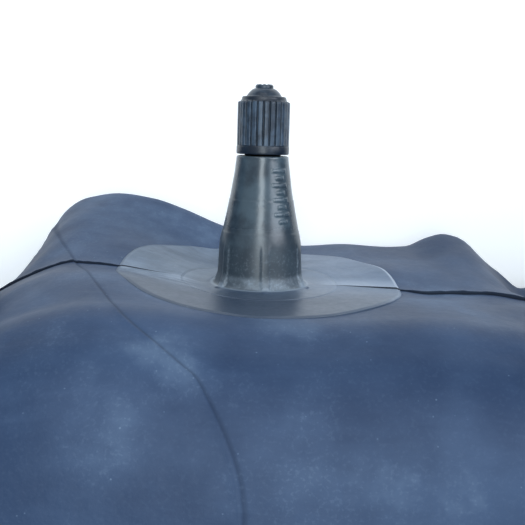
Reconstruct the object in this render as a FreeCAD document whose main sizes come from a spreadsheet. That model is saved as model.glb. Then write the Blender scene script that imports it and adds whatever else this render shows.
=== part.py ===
"""Rubber inner tube for a 15 inch radial tyre, with a straight rubber-covered valve.

The tube lies flat: its axis is +Z, the floor it rests on is Z = 0, and the valve stands on the
inner wall at the +Y side and points to the axis. All lengths are millimetres.
Each piece of the valve is drawn in the valve's own frame, whose Z runs out along the valve from
the face of the base patch, and is then carried to the ring by one shared placement.
"""

import FreeCAD, Part
import math
import os
import Sketcher

OUT = "parts"

# Driving dimensions: alias, value, what it is.
SIZES = [
    ("ring_in", 185.0, "radius of the inner wall"),
    ("ring_out", 283.0, "radius of the outer wall"),
    ("section_high", 100.0, "height of the tube's section"),
    ("wall", 2.2, "thickness of the tube's wall"),
    ("corner_top", 32.0, "section radius, inner side, top"),
    ("corner_low", 15.0, "section radius, inner side, floor"),
    ("outer_low", 42.0, "section radius, outer side, floor"),
    ("wall_hole", 2.5, "radius of the air hole in the tube's wall"),
    ("seat_depth", 2.4, "patch face in front of the inner wall"),
    ("patch_radius", 27.8, "radius of the base patch"),
    ("passage", 1.6, "radius of the air way through the rubber"),
    ("collar_radius", 8.3, "foot collar that stands on the patch"),
    ("collar_high", 2.2, "height of the foot collar"),
    ("flange_radius", 15.5, "thin flange moulded round the collar"),
    ("flange_high", 0.4, "height of that flange"),
    ("flange_taper", 1.5, "width over which the flange thins out"),
    ("edge_break", 0.1, "smallest bevel on a moulded or turned edge"),
    ("edge_bevel", 0.2, "bevel on a turned end"),
    ("tip_bevel", 0.3, "bevel on the core's inner tip"),
    ("overrun", 1.0, "how far a cutting outline passes the material"),
    ("collar_slope", 0.6, "height of the slope from the collar to the shank"),
    ("shank_low", 7.9, "shank radius above the collar"),
    ("shank_top", 7.75, "shank radius where the cone starts"),
    ("shank_high", 8.4, "height where the cone starts"),
    ("cone_top", 5.0, "radius at the top of the rubber"),
    ("cover_high", 25.2, "height of the rubber cover"),
    ("cover_round", 0.3, "width of the slope round the cover's top"),
    ("cover_bevel", 0.4, "height of that slope"),
    ("cone_sweep", 180.0, "radius of the cone's hollow side"),
    ("rib_wide", 1.6, "width of a shank rib"),
    ("rib_radius", 8.25, "radius over the shank ribs"),
    ("rib_high", 9.4, "height where a rib runs out"),
    ("rib_slope", 1.5, "how far below the cone a rib starts to slope"),
    ("rib_root", 1.0, "how deep a rib is rooted in the shank"),
    ("rib_count", 6.0, "shank ribs"),
    ("stem_radius", 3.5, "brass stem inside the rubber"),
    ("stem_groove", 3.1, "radius in the stem's grip grooves"),
    ("foot_radius", 4.75, "radius of the stem's foot"),
    ("foot_low", 3.0, "underside of the stem's foot"),
    ("foot_top", 4.2, "top of the stem's foot"),
    ("grip_one", 8.0, "start of the first grip groove"),
    ("grip_two", 11.0, "start of the second grip groove"),
    ("grip_high", 1.0, "height of a grip groove"),
    ("thread_radius", 3.85, "outside radius of the cap thread"),
    ("thread_root", 3.4, "root radius of the cap thread"),
    ("thread_pitch", 0.79375, "pitch of the cap thread, 32 to the inch"),
    ("thread_low", 25.9, "start of the cap thread"),
    ("thread_turns", 11.0, "ridges of the cap thread"),
    ("ridge_start", 0.05, "start of a ridge within its pitch"),
    ("ridge_rise", 0.36, "start of the ridge's flat crest"),
    ("ridge_fall", 0.46, "end of the ridge's flat crest"),
    ("ridge_end", 0.77, "end of a ridge within its pitch"),
    ("mouth_high", 35.0, "mouth of the stem"),
    ("mouth_chamfer", 0.3, "chamfer at the mouth"),
    ("core_bore", 2.65, "bore that takes the core's plug"),
    ("core_bore_low", 30.5, "foot of the plug's bore"),
    ("seal_bore", 2.1, "bore around the core's gasket"),
    ("seat_top", 25.0, "top of the gasket's conical seat"),
    ("seat_low", 23.5, "foot of the gasket's conical seat"),
    ("air_bore", 1.8, "bore below the seat"),
    ("plug_radius", 2.6, "radius of the core's plug"),
    ("plug_top", 34.4, "top of the core's plug"),
    ("plug_low", 31.0, "foot of the core's plug"),
    ("plug_hole", 1.0, "air hole through the plug"),
    ("plug_lip", 1.4, "lip that holds the barrel's collar"),
    ("plug_lip_top", 31.5, "top of that lip"),
    ("plug_socket", 1.72, "socket for the barrel's collar"),
    ("plug_socket_top", 32.1, "top of that socket"),
    ("flat_half", 1.55, "half the width across the plug's flats"),
    ("flat_low", 32.9, "foot of the plug's flats"),
    ("barrel_radius", 1.7, "radius of the core's barrel"),
    ("barrel_low", 22.0, "foot of the barrel"),
    ("barrel_top", 30.9, "shoulder of the barrel"),
    ("neck_radius", 1.35, "neck of the barrel inside the plug's lip"),
    ("swivel_radius", 1.65, "collar that the plug turns on"),
    ("swivel_low", 31.55, "underside of that collar"),
    ("swivel_top", 32.05, "top of that collar"),
    ("barrel_bore", 1.25, "bore of the barrel"),
    ("barrel_mouth", 1.15, "narrow mouth of that bore"),
    ("mouth_deep", 0.5, "depth of that mouth below the shoulder"),
    ("barrel_floor", 22.7, "floor that the spring stands on"),
    ("pin_way", 0.8, "hole in that floor"),
    ("gasket_radius", 2.05, "radius of the core's gasket"),
    ("gasket_nose", 1.85, "radius of the gasket's nose"),
    ("gasket_in", 1.5, "groove that holds the gasket"),
    ("gasket_low", 24.05, "foot of the gasket"),
    ("gasket_shoulder", 25.3, "where the gasket reaches its full radius"),
    ("gasket_top", 26.6, "top of the gasket"),
    ("pin_radius", 0.5, "radius of the core's pin"),
    ("pin_low", 20.4, "foot of the pin"),
    ("pin_top", 34.6, "top of the pin"),
    ("pin_head", 0.85, "radius of the pin's head"),
    ("pin_head_low", 34.15, "underside of the pin's head"),
    ("pin_bevel", 0.12, "height of the bevel on the pin's head"),
    ("pin_collar", 1.1, "collar that the spring pushes on"),
    ("pin_collar_low", 27.3, "underside of that collar"),
    ("pin_collar_top", 27.75, "top of that collar"),
    ("spring_wire", 0.14, "radius of the spring's wire"),
    ("spring_radius", 0.85, "mean radius of the spring"),
    ("spring_turns", 7.0, "turns of the spring"),
    ("spring_gap", 0.02, "gap at each end of the spring"),
    ("cup_radius", 1.5, "radius of the pin's cup"),
    ("cup_low", 20.2, "foot of the cup"),
    ("cup_floor", 21.1, "floor of the cup's recess"),
    ("cup_top", 21.6, "rim of the cup"),
    ("cup_wall", 0.2, "wall of the cup"),
    ("washer_gap", 0.03, "gap under the barrel when closed"),
    ("cap_low", 25.5, "rim of the cap"),
    ("cap_ring_radius", 5.05, "plain ring at the cap's rim"),
    ("cap_ring_top", 27.1, "top of that ring"),
    ("cap_rib_radius", 5.0, "radius over the cap's ribs"),
    ("cap_rib_top", 35.9, "top of the cap's ribs"),
    ("cap_groove_deep", 0.45, "depth between the cap's ribs"),
    ("cap_groove_wide", 0.42, "width between the cap's ribs"),
    ("cap_grooves", 24.0, "grooves round the cap"),
    ("cap_waist", 4.4, "radius just above the ribs"),
    ("cap_shoulder", 4.05, "radius of the shoulder's edge"),
    ("cap_shoulder_top", 36.85, "top of the shoulder"),
    ("dome_radius", 3.3, "radius at the foot of the dome"),
    ("dome_top", 38.3, "top of the dome"),
    ("dome_sweep", 4.59, "spherical radius of the dome"),
    ("button_radius", 1.75, "raised disc on the dome"),
    ("button_drop", 0.35, "how far its edge is below the dome's top"),
    ("button_top", 38.7, "top of that disc"),
    ("cap_bore", 3.95, "bore of the cap"),
    ("cap_bore_top", 35.9, "roof over the liner"),
    ("cap_recess", 2.9, "recess above the liner"),
    ("cap_recess_top", 36.35, "edge of the recess's roof"),
    ("cap_roof_radius", 1.5, "flat of the recess's roof"),
    ("cap_roof_top", 37.3, "roof of the recess"),
    ("liner_in", 2.75, "hole in the cap's liner"),
    ("liner_out", 3.9, "radius of the cap's liner"),
    ("liner_low", 35.05, "face of the liner on the mouth"),
    ("liner_top", 35.85, "back of the liner"),
]

RIB_TURN = -22.3  # degrees that set the shank ribs round the valve

doc = FreeCAD.newDocument("inner_tube")
sheet = doc.addObject("Spreadsheet::Sheet", "Sizes")
value_of = {}


def fill_sheet():
    """Writes every driving dimension into the sheet, one row each, with its alias."""
    for row, (alias, value, meaning) in enumerate(SIZES, start=1):
        sheet.set(f"A{row}", meaning)
        sheet.set(f"B{row}", str(value))
        sheet.setAlias(f"B{row}", alias)
        value_of[alias] = value
    doc.recompute()


def cell(expression):
    """An expression in the sheet's aliases, such as "ring_in + wall", with the sheet's name added."""
    words = []
    for word in expression.split():
        words.append(f"Sizes.{word}" if word in value_of else word)
    return " ".join(words)


def bind(thing, prop, expression):
    """Binds one property of an object to an expression in the sheet's aliases."""
    thing.setExpression(prop, cell(expression))


def number(expression):
    """The present value of an expression in the sheet's aliases."""
    result = sheet.evalExpression(cell(expression))
    return float(getattr(result, "Value", result))


def plane(body, role):
    """One of a body's own origin planes."""
    return next(f for f in body.Origin.OriginFeatures if f.Role == role)


def sketch_on(body, role, name):
    """A sketch on one of the body's own origin planes."""
    sketch = body.newObject("Sketcher::SketchObject", name)
    sketch.AttachmentSupport = [(plane(body, role), "")]
    sketch.MapMode = "FlatFace"
    return sketch


def arc_between(start, end, radius):
    """An arc of that radius from start to end. A positive radius turns left on the way."""
    chord = end - start
    middle = (start + end) * 0.5
    reach = math.sqrt(max(radius * radius - chord.Length**2 / 4, 0.0))
    left = FreeCAD.Vector(-chord.y, chord.x, 0).normalize()
    centre = middle + left * (reach if radius > 0 else -reach)
    way = middle - centre
    way = way.normalize() if way.Length > 1e-9 else left * -1
    return Part.Arc(start, centre + way * abs(radius), end)


def add_loop(sketch, corners):
    """Draws a closed outline and ties its corners to the sheet.

    A corner is (across, up) in sheet expressions, or (across, up, radius), where radius is that
    of the arc that arrives at the corner, with a minus sign where the arc turns right.
    """
    points = [FreeCAD.Vector(number(c[0]), number(c[1]), 0) for c in corners]
    count = len(points)
    ends = []
    for i, corner in enumerate(corners):
        start = points[i - 1]
        if len(corner) == 3:
            radius = number(corner[2])
            arc = arc_between(start, points[i], radius)
            index = sketch.addGeometry(arc, False)
            turns_left = radius > 0
            # Sketcher keeps every arc counter-clockwise, so a right turn swaps its two ends.
            ends.append((index, 1, 2) if turns_left else (index, 2, 1))
        else:
            index = sketch.addGeometry(Part.LineSegment(start, points[i]), False)
            ends.append((index, 1, 2))
    for i in range(count):
        here, after = ends[i], ends[(i + 1) % count]
        sketch.addConstraint(Sketcher.Constraint("Coincident", here[0], here[2], after[0], after[1]))
    for i, corner in enumerate(corners):
        index, _, last = ends[i]
        for kind, expression in (("DistanceX", corner[0]), ("DistanceY", corner[1])):
            held = sketch.addConstraint(Sketcher.Constraint(kind, -1, 1, index, last, number(expression)))
            sketch.setExpression(f"Constraints[{held}]", cell(expression))
        if len(corner) == 3:
            size = corner[2].replace("0 - ", "")
            held = sketch.addConstraint(Sketcher.Constraint("Radius", index, number(size)))
            sketch.setExpression(f"Constraints[{held}]", cell(size))


def new_body(label, placement=None):
    """An empty body with its label and its place."""
    body = doc.addObject("PartDesign::Body", label)
    body.Label = label
    if placement is not None:
        body.Placement = placement
    return body


def lathe(label, loops, placement=None):
    """A body turned about its own Z from one or more closed outlines of (radius, height)."""
    body = new_body(label, placement)
    sketch = sketch_on(body, "XZ_Plane", label + "_outline")
    for loop in loops:
        add_loop(sketch, loop)
    turned = body.newObject("PartDesign::Revolution", label + "_turned")
    turned.Profile = sketch
    turned.ReferenceAxis = (sketch, ["V_Axis"])
    turned.Angle = 360
    sketch.Visibility = False
    body.Tip = turned
    return body


def around(body, feature, count_alias):
    """Repeats a feature evenly about the body's Z."""
    pattern = body.newObject("PartDesign::PolarPattern", feature.Name + "_round")
    pattern.Originals = [feature]
    pattern.Axis = (next(f for f in body.Origin.OriginFeatures if f.Role == "Z_Axis"), [""])
    pattern.Angle = 360
    bind(pattern, "Occurrences", count_alias)
    body.Tip = pattern
    return pattern


def cylinder(name, radius, height, base, axis):
    """A Part cylinder with bound sizes that starts at base and runs along axis."""
    rod = doc.addObject("Part::Cylinder", name)
    bind(rod, "Radius", radius)
    bind(rod, "Height", height)
    turn = FreeCAD.Rotation(FreeCAD.Vector(0, 0, 1), axis)
    rod.Placement = FreeCAD.Placement(base, turn)
    return rod


def cut(label, base, tool):
    """What is left of base once tool is taken away."""
    result = doc.addObject("Part::Cut", label)
    result.Label = label
    result.Base = base
    result.Tool = tool
    return result


def section_loop(inset):
    """The tube's D-shaped section, flat towards the rim and on the floor, drawn in by inset."""
    return [
        ("ring_out - outer_low", inset),
        (f"ring_out - {inset}", "outer_low", f"outer_low - {inset}"),
        (f"ring_out - {inset}", "section_high / 2"),
        ("ring_out - section_high / 2", f"section_high - {inset}", f"section_high / 2 - {inset}"),
        ("ring_in + corner_top", f"section_high - {inset}"),
        (f"ring_in + {inset}", "section_high - corner_top", f"corner_top - {inset}"),
        (f"ring_in + {inset}", "corner_low"),
        ("ring_in + corner_low", inset, f"corner_low - {inset}"),
    ]


def make_tube():
    """The hollow ring, and the hole through its wall under the valve."""
    blank = lathe("tube_blank", [section_loop("0")])
    ring = lathe("tube_ring", [section_loop("0"), section_loop("wall")])
    middle = FreeCAD.Vector(0, 0, number("section_high / 2"))
    hole = cylinder("air_hole", "wall_hole", "ring_in + 3 * wall", middle, FreeCAD.Vector(0, 1, 0))
    tube = cut("tube_body", ring, hole)
    return blank, tube


def make_patch(blank):
    """The round base patch: flat towards the rim, fitted to the tube's wall behind."""
    seat = FreeCAD.Vector(0, number("ring_in - seat_depth"), number("section_high / 2"))
    outward = FreeCAD.Vector(0, 1, 0)
    disc = cylinder("patch_disc", "patch_radius", "3 * seat_depth", seat, outward)
    fitted = cut("patch_fitted", disc, blank)
    way = cylinder("patch_way", "passage", "3 * seat_depth", seat, outward)
    return cut("valve_patch", fitted, way)


def make_cover(place):
    """The rubber that covers the stem: collar, ribbed shank and hollow-sided cone."""
    body = lathe(
        "stem_cover",
        [
            [
                ("flange_radius", "0"),
                ("flange_radius", "flange_high / 4"),
                ("flange_radius - flange_taper", "flange_high"),
                ("collar_radius", "flange_high"),
                ("collar_radius", "collar_high"),
                ("shank_low", "collar_high + collar_slope"),
                ("shank_top", "shank_high"),
                ("cone_top + edge_break", "cover_high - cover_bevel", "0 - cone_sweep"),
                ("cone_top - cover_round", "cover_high"),
                ("stem_radius", "cover_high"),
                ("stem_radius", "grip_two + grip_high"),
                ("stem_groove", "grip_two + grip_high"),
                ("stem_groove", "grip_two"),
                ("stem_radius", "grip_two"),
                ("stem_radius", "grip_one + grip_high"),
                ("stem_groove", "grip_one + grip_high"),
                ("stem_groove", "grip_one"),
                ("stem_radius", "grip_one"),
                ("stem_radius", "foot_top"),
                ("foot_radius", "foot_top"),
                ("foot_radius", "foot_low"),
                ("passage", "foot_low"),
                ("passage", "0"),
            ]
        ],
        place,
    )
    fin = sketch_on(body, "XZ_Plane", "shank_rib_outline")
    add_loop(
        fin,
        [
            ("shank_top - rib_root", "collar_high"),
            ("rib_radius", "collar_high"),
            ("rib_radius", "shank_high - rib_slope"),
            ("shank_top - tip_bevel", "rib_high"),
            ("shank_top - rib_root", "rib_high"),
        ],
    )
    rib = body.newObject("PartDesign::Pad", "shank_rib")
    rib.Profile = fin
    rib.Midplane = True
    bind(rib, "Length", "rib_wide")
    around(body, rib, "rib_count")
    return body


def thread_outline():
    """The corners of the cap thread from its foot up, as ridges of the true pitch and depth."""
    corners = []
    for turn in range(int(number("thread_turns"))):
        low = f"thread_low + {turn} * thread_pitch"
        corners.append(("thread_root", f"{low} + ridge_start"))
        corners.append(("thread_radius", f"{low} + ridge_rise"))
        corners.append(("thread_radius", f"{low} + ridge_fall"))
        corners.append(("thread_root", f"{low} + ridge_end"))
    return corners


def make_stem(place):
    """The brass stem: foot, grip grooves, cap thread, and the stepped bore for the core."""
    outline = [
        ("passage", "foot_low"),
        ("foot_radius", "foot_low"),
        ("foot_radius", "foot_top"),
        ("stem_radius", "foot_top"),
        ("stem_radius", "grip_one"),
        ("stem_groove", "grip_one"),
        ("stem_groove", "grip_one + grip_high"),
        ("stem_radius", "grip_one + grip_high"),
        ("stem_radius", "grip_two"),
        ("stem_groove", "grip_two"),
        ("stem_groove", "grip_two + grip_high"),
        ("stem_radius", "grip_two + grip_high"),
        ("stem_radius", "thread_low"),
    ]
    outline += thread_outline()
    outline += [
        ("thread_root", "mouth_high - mouth_chamfer"),
        ("thread_root - mouth_chamfer", "mouth_high"),
        ("core_bore", "mouth_high"),
        ("core_bore", "core_bore_low"),
        ("seal_bore", "core_bore_low"),
        ("seal_bore", "seat_top"),
        ("air_bore", "seat_low"),
        ("air_bore", "foot_top"),
    ]
    return lathe("valve_stem", [outline], place)


def make_core(place):
    """The screw-in core: plug, barrel, gasket, pin, cup, washer and spring."""
    plug = lathe(
        "core_plug",
        [
            [
                ("plug_lip", "plug_low"),
                ("plug_radius", "plug_low"),
                ("plug_radius", "plug_top - edge_bevel"),
                ("plug_radius - edge_bevel", "plug_top"),
                ("plug_hole", "plug_top"),
                ("plug_hole", "plug_socket_top"),
                ("plug_socket", "plug_socket_top"),
                ("plug_socket", "plug_lip_top"),
                ("plug_lip", "plug_lip_top"),
            ]
        ],
        place,
    )
    side = sketch_on(plug, "XZ_Plane", "plug_flat_outline")
    add_loop(
        side,
        [
            ("flat_half", "flat_low"),
            ("plug_radius + overrun", "flat_low"),
            ("plug_radius + overrun", "plug_top + overrun"),
            ("flat_half", "plug_top + overrun"),
        ],
    )
    doc.recompute()
    flat = plug.newObject("PartDesign::Pocket", "plug_flat")
    flat.Profile = side
    flat.Midplane = True
    bind(flat, "Length", "3 * plug_radius")
    pattern = plug.newObject("PartDesign::PolarPattern", "plug_flats")
    pattern.Originals = [flat]
    pattern.Axis = (next(f for f in plug.Origin.OriginFeatures if f.Role == "Z_Axis"), [""])
    pattern.Angle = 360
    pattern.Occurrences = 2
    plug.Tip = pattern

    lathe(
        "core_barrel",
        [
            [
                ("pin_way", "barrel_low"),
                ("barrel_radius - edge_bevel", "barrel_low"),
                ("barrel_radius", "barrel_low + tip_bevel"),
                ("barrel_radius", "gasket_low"),
                ("gasket_in", "gasket_low"),
                ("gasket_in", "gasket_top"),
                ("barrel_radius", "gasket_top"),
                ("barrel_radius", "barrel_top"),
                ("neck_radius", "barrel_top"),
                ("neck_radius", "swivel_low"),
                ("swivel_radius", "swivel_low"),
                ("swivel_radius", "swivel_top"),
                ("barrel_mouth", "swivel_top"),
                ("barrel_mouth", "barrel_top - mouth_deep"),
                ("barrel_bore", "barrel_top - mouth_deep - edge_break"),
                ("barrel_bore", "barrel_floor"),
                ("pin_way", "barrel_floor"),
            ]
        ],
        place,
    )
    lathe(
        "core_gasket",
        [
            [
                ("gasket_in", "gasket_low"),
                ("gasket_nose", "gasket_low"),
                ("gasket_radius", "gasket_shoulder"),
                ("gasket_radius", "gasket_top"),
                ("gasket_in", "gasket_top"),
            ]
        ],
        place,
    )
    lathe(
        "core_pin",
        [
            [
                ("0", "pin_low"),
                ("pin_radius", "pin_low"),
                ("pin_radius", "pin_collar_low"),
                ("pin_collar", "pin_collar_low"),
                ("pin_collar", "pin_collar_top"),
                ("pin_radius", "pin_collar_top"),
                ("pin_radius", "pin_head_low"),
                ("pin_head", "pin_head_low"),
                ("pin_head", "pin_top - pin_bevel"),
                ("pin_head - edge_bevel", "pin_top"),
                ("0", "pin_top"),
            ]
        ],
        place,
    )
    lathe(
        "core_cup",
        [
            [
                ("pin_radius", "pin_low"),
                ("pin_radius", "cup_floor"),
                ("cup_radius - cup_wall", "cup_floor"),
                ("cup_radius - cup_wall", "cup_top"),
                ("cup_radius", "cup_top"),
                ("cup_radius", "cup_low + tip_bevel"),
                ("cup_radius - tip_bevel", "cup_low"),
                ("0", "cup_low"),
                ("0", "pin_low"),
            ]
        ],
        place,
    )
    lathe(
        "core_washer",
        [
            [
                ("pin_radius", "cup_floor"),
                ("cup_radius - cup_wall", "cup_floor"),
                ("cup_radius - cup_wall", "barrel_low - washer_gap"),
                ("pin_radius", "barrel_low - washer_gap"),
            ]
        ],
        place,
    )
    make_spring(place)


def make_spring(place):
    """The coil that lifts the pin: it stands on the barrel's floor and pushes on the pin's collar."""
    wire = number("spring_wire")
    gap = number("spring_gap")
    low = number("barrel_floor") + wire + gap
    height = number("pin_collar_low") - gap - wire - low
    turns = number("spring_turns")
    radius = number("spring_radius")
    path = Part.makeHelix(height / turns, height, radius)
    path.translate(FreeCAD.Vector(0, 0, low))
    ring = Part.Wire(Part.makeCircle(wire, FreeCAD.Vector(radius, 0, low), FreeCAD.Vector(0, 1, 0)))
    coil = Part.Wire(path.Edges).makePipeShell([ring], True, True)
    spring = doc.addObject("Part::Feature", "core_spring")
    spring.Label = "core_spring"
    spring.Shape = coil
    spring.Placement = place


def make_cap(place):
    """The plastic dust cap, domed and ribbed, and the rubber liner in its roof."""
    cap = lathe(
        "cap_shell",
        [
            [
                ("cap_bore", "cap_low"),
                ("cap_ring_radius - edge_break", "cap_low"),
                ("cap_ring_radius", "cap_low + edge_break"),
                ("cap_ring_radius", "cap_ring_top - edge_break"),
                ("cap_rib_radius - edge_break / 2", "cap_ring_top"),
                ("cap_rib_radius", "cap_ring_top + edge_break / 2"),
                ("cap_rib_radius", "cap_rib_top"),
                ("cap_waist", "cap_rib_top"),
                ("cap_shoulder", "cap_shoulder_top"),
                ("dome_radius", "cap_shoulder_top"),
                ("button_radius", "dome_top - button_drop", "dome_sweep"),
                ("button_radius", "button_top - edge_break"),
                ("button_radius - edge_break", "button_top"),
                ("0", "button_top"),
                ("0", "cap_roof_top"),
                ("cap_roof_radius", "cap_roof_top"),
                ("cap_recess", "cap_recess_top"),
                ("cap_recess", "cap_bore_top"),
                ("cap_bore", "cap_bore_top"),
            ]
        ],
        place,
    )
    channel = sketch_on(cap, "XZ_Plane", "cap_groove_outline")
    add_loop(
        channel,
        [
            ("cap_rib_radius - cap_groove_deep", "cap_ring_top"),
            ("cap_rib_radius + overrun", "cap_ring_top"),
            ("cap_rib_radius + overrun", "cap_rib_top + edge_bevel"),
            ("cap_rib_radius - cap_groove_deep", "cap_rib_top + edge_bevel"),
        ],
    )
    doc.recompute()
    groove = cap.newObject("PartDesign::Pocket", "cap_groove")
    groove.Profile = channel
    groove.Midplane = True
    bind(groove, "Length", "cap_groove_wide")
    around(cap, groove, "cap_grooves")
    lathe(
        "cap_liner",
        [
            [
                ("liner_in", "liner_low"),
                ("liner_out", "liner_low"),
                ("liner_out", "liner_top"),
                ("liner_in", "liner_top"),
            ]
        ],
        place,
    )


def valve_place(turn=0.0):
    """The valve's frame: its Z points from the patch to the ring's axis, its -Y points up."""
    seat = FreeCAD.Vector(0, number("ring_in - seat_depth"), number("section_high / 2"))
    across = FreeCAD.Vector(-1, 0, 0)
    down = FreeCAD.Vector(0, 0, -1)
    inward = FreeCAD.Vector(0, -1, 0)
    facing = FreeCAD.Rotation(across, down, inward, "ZXY")
    about = FreeCAD.Rotation(FreeCAD.Vector(0, 0, 1), turn)
    return FreeCAD.Placement(seat, facing.multiply(about))


NODES = [
    "tube_body",
    "valve_patch",
    "stem_cover",
    "valve_stem",
    "core_plug",
    "core_barrel",
    "core_gasket",
    "core_pin",
    "core_cup",
    "core_washer",
    "core_spring",
    "cap_shell",
    "cap_liner",
]


def export():
    """Checks every object and shape, then writes one STEP file per piece."""
    doc.recompute()
    for thing in doc.Objects:
        bad = [s for s in thing.State if s in ("Invalid", "Error")]
        if bad:
            raise RuntimeError(f"{thing.Label} failed: {bad}")
    os.makedirs(OUT, exist_ok=True)
    for name in NODES:
        thing = doc.getObjectsByLabel(name)[0]
        shape = thing.Shape
        if shape.isNull() or not shape.isValid():
            raise RuntimeError(f"{name} has no valid shape")
        shape.exportStep(os.path.join(OUT, name + ".step"))
        print(f"{name:12s} {shape.Volume:12.2f} mm3, {len(shape.Solids)} solid")


fill_sheet()
blank_ring, tube_ring = make_tube()
make_patch(blank_ring)
straight = valve_place()
make_cover(valve_place(RIB_TURN))
make_stem(straight)
make_core(straight)
make_cap(straight)
export()
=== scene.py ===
"""Looks of a rubber inner tube that lies flat, with its straight rubber valve and ribbed dust cap.

Everything near the valve is drawn in the valve's own frame, in millimetres: "side" runs along the
tube, "out" runs along the valve from the face of its base patch to the ring's axis, and "near"
runs up from the floor. Round pieces are drawn from a bearing, the angle about the valve from the
"near" direction, and a radius. Everything becomes metres in the row's frame as its mesh is made.
"""

import logging
import math
from collections.abc import Callable, Sequence
from dataclasses import dataclass
from enum import Enum

import bmesh
import bpy
import numpy as np
from mathutils import Matrix, Vector


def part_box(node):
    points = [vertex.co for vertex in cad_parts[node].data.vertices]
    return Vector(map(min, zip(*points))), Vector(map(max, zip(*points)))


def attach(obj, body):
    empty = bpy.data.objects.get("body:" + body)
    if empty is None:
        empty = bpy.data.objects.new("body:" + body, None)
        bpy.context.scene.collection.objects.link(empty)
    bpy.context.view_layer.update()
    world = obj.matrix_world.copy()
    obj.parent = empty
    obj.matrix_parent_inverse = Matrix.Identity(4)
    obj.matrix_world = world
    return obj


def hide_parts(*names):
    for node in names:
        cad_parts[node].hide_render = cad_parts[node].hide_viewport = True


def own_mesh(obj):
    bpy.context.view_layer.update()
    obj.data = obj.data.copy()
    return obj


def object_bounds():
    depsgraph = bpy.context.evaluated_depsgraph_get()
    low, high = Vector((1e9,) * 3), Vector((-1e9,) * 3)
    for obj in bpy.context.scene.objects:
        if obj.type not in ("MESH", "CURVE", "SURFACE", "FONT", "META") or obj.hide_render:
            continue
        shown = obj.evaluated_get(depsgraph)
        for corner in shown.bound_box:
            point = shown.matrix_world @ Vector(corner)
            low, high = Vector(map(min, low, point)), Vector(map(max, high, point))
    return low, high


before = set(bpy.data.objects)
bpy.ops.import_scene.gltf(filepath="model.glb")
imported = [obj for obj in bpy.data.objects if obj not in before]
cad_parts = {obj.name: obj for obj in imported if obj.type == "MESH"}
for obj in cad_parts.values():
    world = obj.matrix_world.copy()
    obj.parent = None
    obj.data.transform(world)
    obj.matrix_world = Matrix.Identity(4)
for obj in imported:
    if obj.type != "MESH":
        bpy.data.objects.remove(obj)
cad_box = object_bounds()
log = logging.getLogger("inner_tube")

MM = 0.001
Colour = tuple[float, float, float]
Knots = Sequence[tuple[float, float]]


# --------------------------------------------------------------------------- curves and meshes


def ease(value: np.ndarray, low: float, high: float) -> np.ndarray:
    """Rises smoothly from 0 at low to 1 at high.

    Args:
        value: Where to read the rise.
        low: Where it leaves 0. It may be above high, and the rise then runs the other way.
        high: Where it reaches 1.

    Returns:
        The rise at each value.
    """
    part = np.clip((np.asarray(value, float) - low) / (high - low), 0.0, 1.0)
    return part * part * (3.0 - 2.0 * part)


def bell(value: np.ndarray, width: float, sharp: float = 2.0) -> np.ndarray:
    """A bump of height 1 at zero that falls to 0.37 at width. A lower sharp makes a keener top."""
    return np.exp(-np.abs(np.asarray(value, float) / width) ** sharp)


def arch(
    part: np.ndarray, step: np.ndarray, ends: Sequence[np.ndarray], leans: Sequence[np.ndarray]
) -> np.ndarray:
    """Reads a cubic arch between two places.

    Args:
        part: How far along the arch to read, from 0 to 1.
        step: How far apart the two places are.
        ends: The heights at the two places.
        leans: The slopes at the two places.

    Returns:
        The height at each part.
    """
    return (
        ends[0] * (1 + 2 * part) * (1 - part) ** 2
        + leans[0] * step * part * (1 - part) ** 2
        + ends[1] * part**2 * (3 - 2 * part)
        - leans[1] * step * part**2 * (1 - part)
    )


def curve_through(value: np.ndarray, knots: Knots) -> np.ndarray:
    """Reads a smooth curve that passes through its knots without overshooting them.

    Args:
        value: Where to read the curve. Past the end knots it stays level.
        knots: Pairs of place and height, in order of place.

    Returns:
        The curve's height at each value.
    """
    xs, ys = (np.array(part, float) for part in zip(*knots))
    step, rise = np.diff(xs), np.diff(ys)
    slope = rise / step
    lean = np.zeros(len(xs))
    same_way = slope[:-1] * slope[1:] > 0
    mean = 2.0 * slope[:-1] * slope[1:] / np.where(same_way, slope[:-1] + slope[1:], 1.0)
    lean[1:-1] = np.where(same_way, mean, 0.0)
    value = np.clip(np.asarray(value, float), xs[0], xs[-1])
    left = np.clip(np.searchsorted(xs, value, side="right") - 1, 0, len(step) - 1)
    part = (value - xs[left]) / step[left]
    return arch(part, step[left], (ys[left], ys[left + 1]), (lean[left], lean[left + 1]))


def between_rows(value: np.ndarray, levels: Sequence[float], rows: Sequence[np.ndarray]) -> np.ndarray:
    """Reads smoothly across several rows, each of which stands at a level.

    Args:
        value: Where to read, on the levels' scale. Past the end levels it stays level.
        levels: The rows' levels, rising.
        rows: One array for each level, shaped as value.

    Returns:
        The height at each value.
    """
    levels_at = np.array(levels, float)
    heights = np.stack(rows)
    slopes = np.gradient(heights, levels_at, axis=0)
    value = np.clip(value, levels_at[0], levels_at[-1])
    left = np.clip(np.searchsorted(levels_at, value, side="right") - 1, 0, len(levels_at) - 2)
    step = levels_at[left + 1] - levels_at[left]
    part = (value - levels_at[left]) / step

    def both(stack: np.ndarray) -> list[np.ndarray]:
        """Each place's own two rows from a stack."""
        return [np.take_along_axis(stack, index[None], axis=0)[0] for index in (left, left + 1)]

    return arch(part, step, both(heights), both(slopes))


def spaced(start: float, end: float, step: float) -> np.ndarray:
    """Even places from start up to, but not at, end, no further apart than step."""
    count = max(1, math.ceil((end - start) / step))
    return start + (end - start) * np.arange(count) / count


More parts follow.
